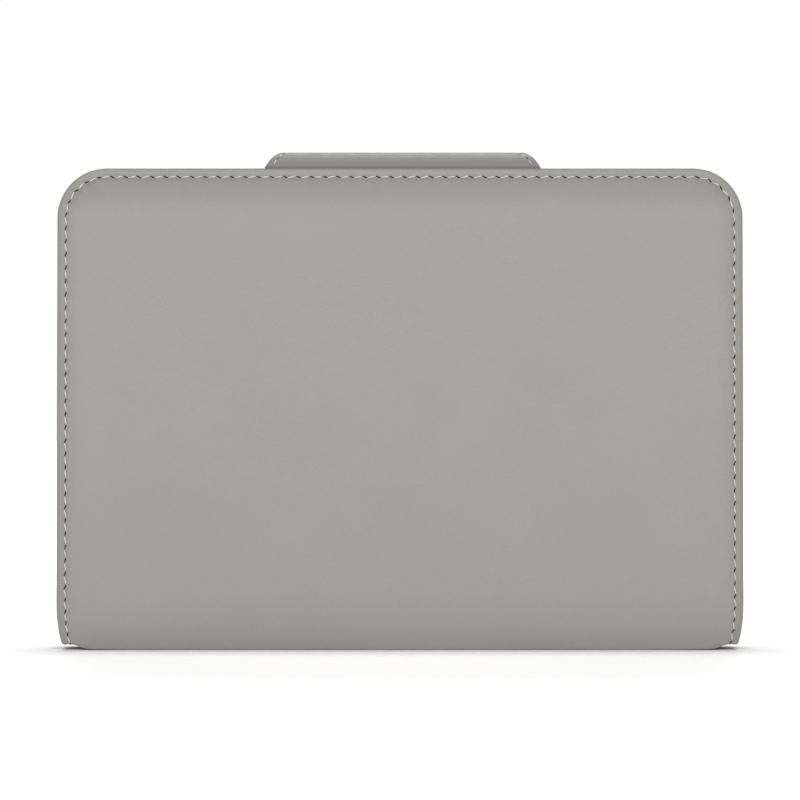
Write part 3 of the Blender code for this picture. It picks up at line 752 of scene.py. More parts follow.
def faux_leather(name, colour, dark):
    """Soft-touch faux leather: fine pebble grain, faint clouding, and painted shade on the rims (partly burnished), in
    the seams, under the upper seam and along the creases.
    """
    made = Finish(name, 0.5, Sheen_Weight=0.12, Sheen_Roughness=0.5, Specular_IOR_Level=0.35)
    flat = made.layout()
    body = colour
    for value, share in (
        (made.spread(made.noise(flat, 0.03), 0.35, 0.65), CLOUD_SHARE),
        (made.spread(made.noise(flat, 1.3), 0.3, 0.7), SPECK_SHARE),
        # painted shade under the upper seam
        (made.mark("valley"), VALLEY_SHADE_SHARE),
        # painted shade in the seams' groove
        (made.mark("seam"), SEAM_SHADE_SHARE),
        # rims: partly burnished, partly painted shade
        (made.mark("rim"), RIM_WEAR_AND_SHADE_SHARE),
        # painted shadow and shade at the strap's root, over its bend and along the upper edge
        (made.mark("crease"), CREASE_SHADE_SHARE),
    ):
        body = made.mix(made.maths("MULTIPLY", value, share), body, dark)
    made.colour(body)
    made.rough(made.spread(made.noise(flat, 0.4), 0.3, 0.7, 0.46, 0.56))
    pebble = made.maths("ADD", made.pebbles(flat, 1.7), made.maths("MULTIPLY", made.noise(flat, 0.7, 4), 0.8))
    return made.bump(pebble, RELIEF["leather"]).material


def build_finishes():
    made = {}
    made["cover"] = faux_leather("cover_pu", shade(167, 164, 160), shade(116, 117, 112))
    made["pocket"] = faux_leather("pocket_pu", shade(128, 125, 121), shade(92, 91, 88))

    thread = Finish("thread", 0.6, Sheen_Weight=0.3)
    ply = thread.bands(thread.place(turn=PLY_TURN), 1.6, "X")
    thread.colour(thread.mix(ply, shade(248, 246, 240), shade(230, 227, 221)))
    made["thread"] = thread.bump(ply, RELIEF["thread"]).material

    # painted shadow of the needle holes
    needle = Finish("needle_hole", 0.9)
    needle.colour(needle.mix(needle.noise(needle.place(), 1.5), shade(14, 12, 10), shade(30, 26, 23)))
    made["needle"] = needle.material

    cloth = Finish("lining_cloth", 0.85, Sheen_Weight=0.25, Sheen_Roughness=0.4)
    flat = cloth.layout()
    twill = cloth.bands(cloth.layout(turn=TWILL_TURN), 0.62, "X")
    yarn = cloth.bands(flat, 1.1, "Y", 0.4)
    weave = cloth.maths("MULTIPLY", twill, cloth.spread(yarn, 0, 1, 0.7, 1.0))
    blotch = cloth.spread(cloth.noise(flat, 0.08, 4), 0.3, 0.7)
    woven = cloth.mix(weave, shade(70, 70, 71), shade(104, 104, 104))
    cloth.colour(cloth.mix(cloth.maths("MULTIPLY", blotch, 0.25), woven, shade(80, 80, 80)))
    made["lining"] = cloth.bump(weave, RELIEF["lining"]).material

    board = Finish("greyboard", 0.9)
    fibre = board.noise(board.place(), 1.1, 6, 0.7)
    fleck = board.spread(board.noise(board.place(), 3.2, 2), 0.62, 0.7)
    pulp = board.mix(fibre, shade(148, 139, 126), shade(172, 163, 149))
    board.colour(board.mix(board.maths("MULTIPLY", fleck, 0.5), pulp, shade(112, 104, 94)))
    made["board"] = board.bump(fibre, RELIEF["board"]).material

    made["paper"] = paper("paper", ruled=False)
    made["ruled"] = paper("paper_ruled", ruled=True)

    band = Finish("elastic", 0.85, Sheen_Weight=0.3)
    rib = band.bands(band.layout(), 0.36, "X")
    knit = band.bands(band.layout(), 0.9, "Y", 0.3)
    ribbed = band.maths("MULTIPLY", rib, band.spread(knit, 0, 1, 0.6, 1.0))
    band.colour(band.mix(ribbed, shade(74, 74, 75), shade(118, 118, 119)))
    made["elastic"] = band.bump(ribbed, RELIEF["elastic"]).material

    tape = Finish("binding_tape", 0.7, Specular_IOR_Level=0.3)
    warp = tape.bands(tape.place(), 0.7, "Z")
    weft = tape.bands(tape.place(), 0.7, "X")
    crepe = tape.maths("ADD", warp, weft)
    tape.colour(tape.mix(tape.spread(crepe, 0, 2), shade(98, 98, 99), shade(134, 134, 134)))
    made["tape"] = tape.bump(crepe, RELIEF["tape"]).material

    core = Finish("core_sheet", 0.55)
    core.colour(core.mix(core.noise(core.place(), 0.3), shade(44, 44, 45), shade(58, 58, 59)))
    made["core"] = core.bump(core.noise(core.place(), 2.5), RELIEF["core"]).material

    magnet = Finish("bonded_magnet", 0.7)
    grit = magnet.noise(magnet.place(), 4, 4)
    magnet.colour(magnet.mix(grit, shade(72, 64, 58), shade(98, 90, 83)))
    made["magnet"] = magnet.bump(grit, RELIEF["magnet"]).material

    steel = Finish("keeper_steel", 0.35, Metallic=1.0)
    brushed = steel.noise(steel.place(BRUSHED), 1)
    steel.colour(steel.mix(brushed, shade(186, 186, 187), shade(214, 214, 214)))
    steel.rough(steel.spread(brushed, 0.3, 0.7, 0.28, 0.42))
    made["steel"] = steel.bump(brushed, RELIEF["steel"]).material
    return made


def paper(name, ruled):
    """Writing paper. The top leaf has faint rules across it."""
    made = Finish(name, 0.8, Specular_IOR_Level=0.25)
    place = made.place()
    fibre = made.noise(place, 0.9, 5, 0.6)
    sheet = made.mix(fibre, shade(236, 235, 230), shade(246, 245, 241))
    if ruled:
        along = made.node("ShaderNodeSeparateXYZ", {0: place}).outputs["X"]
        shifted = made.maths("ADD", along, RULE_SHIFT / MM)
        part = made.maths("FRACT", made.maths("DIVIDE", shifted, RULE_PITCH / MM))
        line = made.maths("LESS_THAN", part, RULE_SHARE)
        below_head = made.maths("LESS_THAN", along, HEAD_RULE / MM)
        sheet = made.mix(made.maths("MULTIPLY", line, below_head), sheet, shade(168, 182, 198))
    made.colour(sheet)
    return made.bump(fibre, RELIEF["paper"]).material


# Seams


class Seam:
    """Machine stitches at an even pitch along a line on the flat layout."""

    def __init__(self, line, pitch):
        self.points = np.array(line)
        self.runs = run_lengths(self.points)
        self.count = max(round(float(self.runs[-1]) / pitch), 1)

    def at(self, share):
        return Vector(at_run(self.points, self.runs, share * self.runs[-1]))

    def beads(self, size, tilt, offset):
        """One slim bead for each stitch, lying along the line on the layout's plane."""
        beads = bmesh.new()
        for number in range(self.count):
            share, look = (number + offset) / self.count, LOOK_SHARE / self.count
            ahead = self.at(min(share + look, 1)) - self.at(max(share - look, 0))
            wobble = noise.noise(Vector((number * WOBBLE_STEP, offset * WOBBLE_ROW, 0)))
            turn = Matrix.Rotation(math.atan2(ahead.y, ahead.x) + tilt * (1 + wobble), 4, "Z")
            stretched = size[0] / 2 * (1 + wobble * WOBBLE_SHARE)
            stretch = Matrix.Diagonal((stretched, size[1] / 2, size[2], 1))
            place = Matrix.Translation((*self.at(share), 0))
            bmesh.ops.create_uvsphere(
                beads,
                u_segments=BEAD_SIDES,
                v_segments=BEAD_RINGS,
                radius=1,
                matrix=place @ turn @ stretch,
            )
        return beads


def sew(name, line, place, finishes, finer=1.0, **fixing):
    """Threads, and near-black beads that paint the shadow in the needle holes, along a line. place(x, u, height) puts
    a point on the real surface.
    """
    seam = Seam(line, PITCH * finer)
    for kind, size, tilt, offset in (
        ("thread", THREAD, THREAD_TILT, THREAD_SHARE),
        ("needle", NEEDLE, NEEDLE_TILT, NEEDLE_SHARE),
    ):
        beads = seam.beads([finer * part for part in size], tilt, offset)
        for vert in beads.verts:
            vert.co = place(*vert.co)
        dress(f"{name}_{kind}", beads, finishes[kind], sharp=180, **fixing)


# The padded cover


def cover_edge(x, u):
    return edge_distance(x, u, END, OUTER.full, CORNER)


def seam_run(x, u):
    """How far along the seam the nearest stitch to that point is, from the middle of the spine."""
    side = OUTER.full - CORNER
    over_x, over_u = abs(x) - END + CORNER, u - side
    corner = (CORNER - SEAM) * math.pi / 2
    if over_u <= 0:
        return u
    if over_x <= 0:
        return side + corner - over_x
    return side + corner * (1 - math.atan2(over_x, over_u) / (math.pi / 2))


def padding(x, u):
    """Depth of the padded face at a point of the layout."""
    inside = cover_edge(x, u) - LAND
    from_end, from_top = END - abs(x) - LAND, OUTER.full - u - LAND
    full_x, full_u = (1 - (1 - clamp(d / BROAD)) ** 2 for d in (from_end, from_top))
    broad = 1 - full_x * full_u
    low = 1 - smooth((u - OUTER.base) / OUTER.length)
    upright = (1 - clamp(inside / STEEP)) ** STEEP_POWER
    steep = upright + (1 - smooth(inside / SPINE_STEEP) - upright) * low
    drop = DROP + SPINE_DROP * low
    swell = noise.noise(Vector((x, u, 0)) / SWELL_SIZE) * SWELL * (1 - broad) * (1 - low)
    return drop * ((1 - BROAD_SHARE) * steep + BROAD_SHARE * broad) + swell + abs(swell)


def skin_face(x, u):
    """Depth of the outer face, with the seam drawn in and puckered."""
    distance = cover_edge(x, u)
    dip = SEAM_DIP * hill(distance - SEAM, SEAM_DIP_WIDTH)
    wave = math.cos(2 * math.pi * seam_run(x, u) / PITCH) + noise.noise(Vector((x, u, 0)) / PITCH)
    pucker = PUCKER * wave * hill(distance - SEAM - PUCKER_REACH / 2, PUCKER_REACH)
    return padding(x, u) + dip + pucker + RIM_OUT * rounded(distance, RIM_OUT)


def over_slot(side, x, u):
    """Whether the strap's root lies in the hem there."""
    return side == BACK and abs(x) < STRAP_SLOT_HALF and OUTER.full - u < HEM_WIDTH


def skin_back(side, x, u):
    """Depth of the inner face: the strap's slot, the doubled hem, or the foam under the boards."""
    distance = cover_edge(x, u)
    if over_slot(side, x, u):
        return DROP + SKIN
    if distance < HEM_WIDTH:
        return HEM_IN - RIM_IN * rounded(distance, RIM_IN)
    z = u - OUTER.full + HEIGHT
    on_plate = abs(x) < PLATE_HALF[0] and abs(z - PLATE_MIDDLE) < PLATE_HALF[1]
    return SKIN + GAP if side == FRONT and on_plate else FOAM_IN


def from_top(u):
    """0 at the upper edge, 1 from the middle of the corner on."""
    return smooth((OUTER.full - u) / TOP_BAND)


def shade_under_seam(x, u):
    """Painted shade: the darker band under the upper seam."""
    inside = smooth((cover_edge(x, u) - SEAM) / SEAM_DIP_WIDTH)
    return inside * hill(OUTER.full - u - SEAM - VALLEY_IN, VALLEY_WIDTH)


def upper_edge_shade(side, x, u):
    """Painted shade along the upper edge, darkest where the strap comes out of the back cover."""
    beside_strap = side == BACK and abs(x - STRAP_SHIFT) < STRAP_ROOT_HALF
    share = 1 if beside_strap else EDGE_SHARE
    return share * hill(cover_edge(x, u), EDGE_BAND) * (1 - from_top(u))


def build_cover_skin(side, finishes):
    """Padded skin of one cover and half the spine."""
    lines = edge_lines(RIM_OUT, *SKIN_RIM)
    u_lines = up_lines(0, OUTER.full, lines, SKIN_STEP)
    sheet = ruled_grid(
        across_lines(END, lines, SKIN_STEP),
        closer_lines(u_lines, OUTER.base, OUTER.base + FOLD_REACH, FOLD_STEP),
        lambda x, u: round_corner(x, u, END, OUTER.full, CORNER),
    )

    def place(x, u, under):
        depth = skin_back(side, x, u) if under else skin_face(x, u)
        if not under and over_slot(side, x, u):
            depth = min(depth, DROP + SKIN - GAP / 2)
        return OUTER.place(side, x, u, depth)

    marks = {
        # rims: partly burnished, partly painted shade; left off along the lit upper edge
        "rim": lambda x, u: hill(cover_edge(x, u), RIM_WEAR_AND_SHADE_BAND) * from_top(u),
        # painted shade in the seam's groove
        "seam": lambda x, u: hill(cover_edge(x, u) - SEAM, SEAM_DIP_WIDTH),
        # painted shade band under the upper seam
        "valley": shade_under_seam,
        # painted shade along the upper edge
        "crease": lambda x, u: upper_edge_shade(side, x, u),
    }
    name = COVER_NAME[side]
    bend = spine_bend(side, SKIN_BEND)
    piece = dress(
        f"{name}_padding",
        thicken(sheet, place, marks),
        finishes["cover"],
        "cover_pu",
        replaces=(f"{name}_skin", f"{name}_foam", "spine_skin", "spine_foam"),
        bend=bend,
    )
    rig.padded(piece, fill=0.8)
    line = three_sides(END - SEAM, 0, OUTER.full - SEAM, CORNER - SEAM)
    sew(
        f"{name}_edge",
        line,
        lambda x, u, height: OUTER.place(side, x, u, skin_face(x, u) - height),
        finishes,
        slot="cover_pu",
        bend=bend,
    )


def spine_bend(side, places):
    return "spine", COVER_BODY[side], *[(0, side * out, up) for out, up in places]


def build_lining(side, finishes):
    """Lining cloth of one cover and half the gutter, turned in along its edge."""
    half, high, radius = END - LINING_INSET, INNER.full - LINING_INSET, CORNER - LINING_INSET
    turned = (COVER - LINING_OUT) / 2
    lines = edge_lines(turned, *LINING_RIM)
    sheet = ruled_grid(
        across_lines(half, lines, LINING_ACROSS),
        up_lines(0, high, lines, LINING_UP),
        lambda x, u: round_corner(x, u, half, high, radius),
    )

    def face(x, u):
        distance = edge_distance(x, u, half, high, radius)
        ripple = RIPPLE * noise.noise(Vector((x / RIPPLE_LONG, u, 0)) / RIPPLE_SIZE)
        gutter = 1 - smooth((u - INNER.base) / (RIPPLE_FADE * INNER.length))
        dip = LINING_DIP * hill(distance - LINING_INSET, LINING_DIP_WIDTH)
        return COVER - turned * rounded(distance, turned) - dip + ripple * gutter

    def place(x, u, under):
        depth = face(x, u)
        return INNER.place(side, x, u, LINING_OUT + COVER - depth if under else depth)

    name = COVER_NAME[side]
    bend = spine_bend(side, LINING_BEND)
    size = flat_size(sheet)
    piece = dress(
        f"{name}_lining_cloth",
        thicken(sheet, place),
        finishes["lining"],
        "lining_cloth",
        replaces=(f"{name}_lining", "spine_lining"),
        bend=bend,
    )
    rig.sheet(piece, held="stretched", **size)
    line = three_sides(END - SEAM, 0, INNER.full - SEAM, CORNER - SEAM)
    sew(
        f"{name}_inside_edge",
        line,
        lambda x, u, height: INNER.place(side, x, u, face(x, u) + height - SUNK),
        finishes,
        slot="lining_cloth",
        bend=bend,
    )


def build_spine_board(finishes):
    """The stiffener under the gutter."""
    board = bmesh.new()
    bmesh.ops.create_cube(board, size=1)
    low, high = FOAM_IN + GAP, HEM_IN
    size = (2 * (END - SPINE_PULL - SPINE_BOARD_IN), 2 * SPINE_BOARD_HALF, high - low)
    bmesh.ops.scale(board, verts=board.verts, vec=size)
    bmesh.ops.translate(board, verts=board.verts, vec=(0, 0, (high + low) / 2))
    bmesh.ops.bevel(
        board, geom=board.edges, offset=BOARD_EDGE, affect="EDGES", segments=2, profile=0.5, material=-1
    )
    dress("spine_stiffener", board, finishes["board"], "greyboard", ("spine_board",), "spine")


# Strap

ARCH_START = leaned(BACK, 0, HALF - STRAP_DEPTH, HEIGHT + GAP).yz
ARCH_END = leaned(FRONT, 0, HALF + GAP + FLAP_HALF, HEIGHT + GAP).yz
ARCH_MIDDLE = (ARCH_START + ARCH_END) / 2
ARCH_HALF = (ARCH_END - ARCH_START) / 2
ARCH_UP = Vector((-ARCH_HALF.y, ARCH_HALF.x)).normalized() * ARCH_RISE
ARCH_TURNS = np.linspace(0, math.pi, ROLL_SAMPLES)
ARCH_RUNS = run_lengths(
    np.outer(-np.cos(ARCH_TURNS), ARCH_HALF) + np.outer(np.sin(ARCH_TURNS), ARCH_UP)
)
ARCH_LENGTH = float(ARCH_RUNS[-1])
STRAP_REACH = ARCH_LENGTH + FLAP_LENGTH
ROOT_UP = Vector((math.sin(LEAN), math.cos(LEAN)))
FLAP_DOWN = Vector((math.sin(LEAN), -math.cos(LEAN)))
TIP_BAND = STRAP_TIP_RADIUS + TIP_MARGIN


def strap_path(x, along, height):
    """A point of the flat strap: out of the back cover, over the fore edge, down the front cover."""
    if along <= 0:
        on, ahead = ARCH_START + along * ROOT_UP, ROOT_UP
    elif along >= ARCH_LENGTH:
        on, ahead = ARCH_END + (along - ARCH_LENGTH) * FLAP_DOWN, FLAP_DOWN
    else:
        turn = float(np.interp(along, ARCH_RUNS, ARCH_TURNS))
        on = ARCH_MIDDLE - ARCH_HALF * math.cos(turn) + ARCH_UP * math.sin(turn)
        ahead = (ARCH_HALF * math.sin(turn) + ARCH_UP * math.cos(turn)).normalized()
    return Vector((x + STRAP_SHIFT, on.x - ahead.y * height, on.y + ahead.x * height))


def strap_width(x, along):
    """Draws the straight-sided layout in to the strap's real outline."""
    left = 1 - clamp(along / STRAP_REACH)
    narrower = (STRAP_ROOT_HALF - STRAP_TIP_HALF) * (1 - left**2)
    middle = STRAP_ROOT_HALF - TIP_BAND
    if abs(x) > middle:
        return x - math.copysign(narrower, x)
    return x * (middle - narrower) / middle


def strap_edge(x, along):
    return edge_distance(x, along, STRAP_ROOT_HALF, STRAP_REACH, STRAP_TIP_RADIUS)


def strap_thickness(x, along):
    """Half the strap's thickness: round edges, the seam's dip, and plump where the magnet lies."""
    distance = strap_edge(x, along)
    flap = smooth((along / ARCH_LENGTH - FLAP_FROM_SHARE) / (1 - FLAP_FROM_SHARE))
    sewn = smooth((distance - STRAP_SEAM) / PLUMP)
    full = STRAP_HALF + (FLAP_HALF - STRAP_HALF) * flap * (FLAP_RIM_SHARE + (1 - FLAP_RIM_SHARE) * sewn)
    full -= STRAP_DIP * hill(distance - STRAP_SEAM, STRAP_DIP_WIDTH)
    return full * (1 - rounded(distance, STRAP_EDGE))


def bend_shade(along):
    """Painted shade over the strap's bend, most along the top."""
    up, down = 2 * along / ARCH_LENGTH, 2 * along / ARCH_LENGTH - 1
    return (BEND_SHADE_SHARE + (1 - BEND_SHADE_SHARE) * smooth(up)) * (1 - smooth(down))


def strap_surface(x, along, height):
    return strap_path(strap_width(x, along), along, height)


def build_strap(finishes):
    """The strap in two pieces, which meet at the top of its arch."""
    lines = edge_lines(STRAP_EDGE, *STRAP_RIM)
    x_lines = across_lines(STRAP_ROOT_HALF, lines, STRAP_ACROSS)
    middle = ARCH_LENGTH / 2
    root_lines = [-STRAP_ROOT, *even_lines(-STRAP_ROOT, middle, STRAP_ALONG), middle]
    flap_lines = up_lines(middle, STRAP_REACH, lines, STRAP_ALONG)

    def corner(x, along):
        return round_corner(x, along, STRAP_ROOT_HALF, STRAP_REACH, STRAP_TIP_RADIUS)

    def place(x, along, under):
        height = strap_thickness(x, along)
        return strap_surface(x, along, -height if under else height)

    marks = {
        # strap's rounded edges: partly burnished, partly painted shade
        "rim": lambda x, along: hill(strap_edge(x, along), STRAP_EDGE),
        # painted shade in the strap's seam groove
        "seam": lambda x, along: hill(strap_edge(x, along) - STRAP_SEAM, STRAP_EDGE),
        # painted shadow where the strap leaves the cover, and painted shade over its bend
        "crease": lambda x, along: max(hill(max(along, 0), CREASE_SHADOW), bend_shade(along)),
    }
    root_bend = "back_cover", "closure_strap", *[(0, ARCH_START.x, up) for up in (HEIGHT, ROOT_BEND_TOP)]
    flap_bend = "closure_strap", "closure_flap", *[(0, out, up) for out, up in FLAP_BEND]
    root_cloth = thicken(ruled_grid(x_lines, root_lines, corner), place, marks)
    replaced = "strap_root", "strap_skin", "strap_lining"
    root = dress("strap_root_cloth", root_cloth, finishes["cover"], "cover_pu", replaced, bend=root_bend)
    cut_out = ruled_grid(x_lines, root_lines, lambda x, along: (strap_width(x, along), along))
    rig.sheet(root, held="stretched", **flat_size(cut_out))
    cut_out.free()
    flap_cloth = thicken(ruled_grid(x_lines, flap_lines, corner), place, marks)
    replaced = "strap_skin", "strap_lining", "flap_skin", "flap_lining"
    flap = dress("strap_flap_cloth", flap_cloth, finishes["cover"], "cover_pu", replaced, bend=flap_bend)
    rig.padded(flap, fill=0.9)
    inset_half, inset_reach = STRAP_ROOT_HALF - STRAP_SEAM, STRAP_REACH - STRAP_SEAM
    inset_radius = STRAP_TIP_RADIUS - STRAP_SEAM
    for sign in (-1, 1):
        side_line = [(sign * inset_half, STRAP_SEAM_START), (sign * inset_half, middle)]
        sew_strap(f"strap_side_{'left' if sign < 0 else 'right'}", side_line, root_bend, finishes)
    flap_line = three_sides(inset_half, middle, inset_reach, inset_radius)
    sew_strap("strap_flap", flap_line, flap_bend, finishes)


def sew_strap(name, line, bend, finishes):
    def outside(x, along, height):
        return strap_surface(x, along, strap_thickness(x, along) + height)

    def inside(x, along, height):
        return strap_surface(x, along, -strap_thickness(x, along) - height)

    sew(f"{name}_outside", line, outside, finishes, STRAP_FINER, slot="cover_pu", bend=bend)
    sew(f"{name}_inside", line, inside, finishes, STRAP_FINER, slot="pocket_pu", bend=bend)


# Pockets

PANEL_LEFT, PANEL_HIGH = LINING_INSET - END, HEIGHT - LINING_INSET
PANEL_CORNER = CORNER - LINING_INSET


def panel_corner(inset, start, end):
    return arc(PANEL_LEFT + PANEL_CORNER, PANEL_HIGH - PANEL_CORNER, PANEL_CORNER - inset, start, end)


def panel_outline(right, notch=()):
    """A pocket's outline: round at the fore edge, straight or notched along its mouth."""
    mouth = [(right, PANEL_LOW), *notch, (right, PANEL_HIGH)]
    return [(PANEL_LEFT, PANEL_LOW), *mouth, *panel_corner(0, 90, 180)]


def panel_seam(right, inset):
    """The seam along a pocket's three closed sides."""
    start = [(right - inset, PANEL_LOW + inset), (PANEL_LEFT + inset, PANEL_LOW + inset)]
    return [*start, *panel_corner(inset, 180, 90), (right - inset, PANEL_HIGH - inset)]


def build_panel(name, side, sheet, place, finishes):
    size = flat_size(sheet)
    panel = thicken(sheet, place)
    piece = dress(f"{name}_panel", panel, finishes["pocket"], "pocket_pu", (name,), COVER_BODY[side])
    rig.sheet(piece, held="stretched", **size)


def build_pad_pocket(finishes):
    """A panel sewn down on three sides and raised over the pad's backing, open towards the head."""
    slope = [PANEL_LAND + PANEL_SLOPE * i / SLOPE_STEPS for i in range(SLOPE_STEPS + 1)]
    rings = [*TURNED_RINGS, *slope, PANEL_LAND + 2 * PANEL_SLOPE, PANEL_LAND + 3 * PANEL_SLOPE]
    sheet = outlined(panel_outline(END), rings)
    everything = sheet.verts[:] + sheet.edges[:] + sheet.faces[:]
    bmesh.ops.bisect_plane(
        sheet,
        geom=everything,
        dist=MERGE,
        plane_co=(PAD_PANEL_END, 0, 0),
        plane_no=(1, 0, 0),
        clear_outer=True,
    )

    def border(x, z):
        over_x, over_z = PANEL_LEFT + PANEL_CORNER - x, z - PANEL_HIGH + PANEL_CORNER
        outside = math.hypot(max(over_x, 0), max(over_z, 0))
        return min(PANEL_CORNER - outside - min(max(over_x, over_z), 0), z - PANEL_LOW)

    def depth(x, z):
        raised = smooth((border(x, z) - PANEL_LAND) / PANEL_SLOPE)
        return COVER + GAP + (PANEL_OUT - COVER - GAP) * raised

    def top(x, z):
        return depth(x, z) + PAD_PANEL

    def place(x, z, under):
        round_in = PAD_PANEL / 2 * rounded(border(x, z), TURNED_RINGS[-1])
        return on_cover(BACK, x, z, depth(x, z) + (PAD_PANEL - round_in if under else round_in))

    build_panel("pad_pocket", BACK, sheet, place, finishes)
    inset = PAD_PANEL_SEAM
    sew_panel("pad_pocket_seam", BACK, panel_seam(PAD_PANEL_END, inset), top, finishes)
    mouth = PAD_PANEL_END - 2 * inset
    mouth_line = [(mouth, PANEL_LOW + 5 * inset), (mouth, PANEL_HIGH - 5 * inset)]
    sew_panel("pad_pocket_mouth", BACK, mouth_line, top, finishes)


def sew_panel(name, side, line, depth_of, finishes):
    sew(
        name,
        line,
        lambda x, z, height: on_cover(side, x, z, depth_of(x, z) + height),
        finishes,
        slot="pocket_pu",
        body=COVER_BODY[side],
    )


def thin_panel_place(sheet, depth_out, thickness):
    """Places a flat panel on the front cover, pressed thinner along its edges."""
    rim = {tuple(vert.co.xy) for vert in sheet.verts if vert.is_boundary}

    def place(x, z, under):
        pressed = thickness / 4 if (x, z) in rim else 0
        return on_cover(FRONT, x, z, depth_out + (thickness - pressed if under else pressed))

    return place


def build_document_pocket(finishes):
    """A flat panel sewn on three sides, with a thumb notch in its open edge."""
    depth_out, inset = COVER + GAP, POCKET_SEAM
    sheet = outlined(panel_outline(POCKET_END, thumb_notch(0, 0)), THIN_RINGS)
    place = thin_panel_place(sheet, depth_out, POCKET)
    build_panel("document_pocket", FRONT, sheet, place, finishes)
    mouth = [
        (POCKET_END - inset, PANEL_LOW + 3 * inset),
        *thumb_notch(inset, NOTCH_SHORT),
        (POCKET_END - inset, PANEL_HIGH - 3 * inset),
    ]
    for name, line in (("seam", panel_seam(POCKET_END, inset)), ("mouth", mouth)):
        sew_panel(f"document_pocket_{name}", FRONT, line, lambda x, z: depth_out + POCKET, finishes)


def thumb_notch(out, short):
    middle = (PANEL_LOW + PANEL_HIGH) / 2
    return arc(POCKET_END, middle, NOTCH_RADIUS + out, 270 - short, 90 + short, NOTCH_STEPS)


def build_card_slots(finishes):
    """Card panels in steps, the longest lying lowest, each sewn down round its closed sides."""
    middle = (PANEL_LOW + PANEL_HIGH) / 2
    low, high = middle - CARD_HALF, middle + CARD_HALF
    inset = CARD_SEAM

    def outline(right, inset):
        """From the lower right corner up the mouth, and round the closed sides."""
        left, radius = CARD_LEFT + CARD_CORNER, CARD_CORNER - inset
        upper = arc(left, high - CARD_CORNER, radius, 90, 180, CARD_CORNER_STEPS)
        lower = arc(left, low + CARD_CORNER, radius, 180, 270, CARD_CORNER_STEPS)
        return [(right - inset, low + inset), (right - inset, high - inset), *upper, *lower]

    for slot in range(CARD_COUNT):
        right = CARD_RIGHT - slot * CARD_STEP
        depth_out = COVER + GAP + POCKET + slot * CARD_PITCH + CARD_BOND
        sheet = outlined(outline(right, 0), THIN_RINGS)
        name = f"card_slot_{slot + 1}"
        build_panel(name, FRONT, sheet, thin_panel_place(sheet, depth_out, CARD_PANEL), finishes)
        mouth = [(right - inset, low + 3 * inset), (right - inset, high - 3 * inset)]
        top = depth_out + CARD_PANEL
        sew_panel(f"{name}_mouth", FRONT, mouth, lambda x, z, top=top: top, finishes)
    mouth_low, *closed = outline(right, inset)
    sew_panel("card_slot_seam", FRONT, [mouth_low, *reversed(closed)], lambda x, z: top, finishes)


# Pen loop


def loop_section(inset):
    """The elastic's section, a flat foot on the gutter and a round top, and how far along each point is."""
    foot = LOOP_FOOT - inset
    half = LOOP_HALF - inset
    low = COVER + GAP + inset
    centre = COVER + GAP + LOOP_HALF
    arcs = (
        (-half + foot, low + foot, foot, 180, 270),
        (half - foot, low + foot, foot, 270, 360),
        (0, centre, half, 0, 180),
    )
    points = np.array([point for one in arcs for point in arc(*one)])
    points = np.vstack((points, points[:1]))
    return points, run_lengths(points)


def loop_length(inset):
    return float(loop_section(inset)[1][-1])


def loop_point(turn_share, inset):
    points, runs = loop_section(inset)
    return at_run(points, runs, turn_share * runs[-1])


def build_pen_loop(finishes):
    """Ribbed elastic bent into a loop, and sewn to the gutter with a bar tack at each end of its foot."""
    lines = edge_lines(ELASTIC / 2, *LOOP_RIM)
    x_lines = across_lines(LOOP_LENGTH / 2, lines, LOOP_STEP)
    band = ruled_grid(x_lines, list(range(LOOP_STEPS + 1)))
    ribs = 2 * math.pi / LOOP_RIB_PITCH
    section = {}

    def place(x, step, under):
        round_in = ELASTIC / 2 * rounded(LOOP_LENGTH / 2 - abs(x), ELASTIC / 2)
        rib = LOOP_RIB * (1 - math.cos(ribs * x)) / 2
        inset = ELASTIC - round_in - rib if under else round_in + rib
        key = (round(step), round(inset / MM, 4))
        if key not in section:
            section[key] = loop_point(round(step) % LOOP_STEPS / LOOP_STEPS, inset)
        return Vector((x, *section[key]))

    flat_width = flat_size(band)["flat"][0]
    thicken(band, place)
    layout = band.loops.layers.uv["layout"]
    joined = [face for face in band.faces if len({loop[layout].uv.y for loop in face.loops}) == 1]
    bmesh.ops.delete(band, geom=joined, context="FACES_ONLY")
    bmesh.ops.remove_doubles(band, verts=band.verts, dist=MERGE)
    piece = dress("pen_loop_elastic", band, finishes["elastic"], "elastic", ("pen_loop",), "spine")
    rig.sheet(piece, flat=(flat_width, loop_length(ELASTIC / 2)), held="stretched")
    for end in (-1, 1):
        line = [(end * TACK_AT, -TACK_HALF), (end * TACK_AT, TACK_HALF)]
        beads = Seam(line, TACK_PITCH).beads(TACK, tilt=0, offset=0.5)
        bmesh.ops.translate(beads, verts=beads.verts, vec=(0, 0, COVER + GAP + ELASTIC))
        name = f"pen_loop_tack_{'left' if end < 0 else 'right'}"
        dress(name, beads, finishes["thread"], "elastic", (), "spine", sharp=180)


# Pad


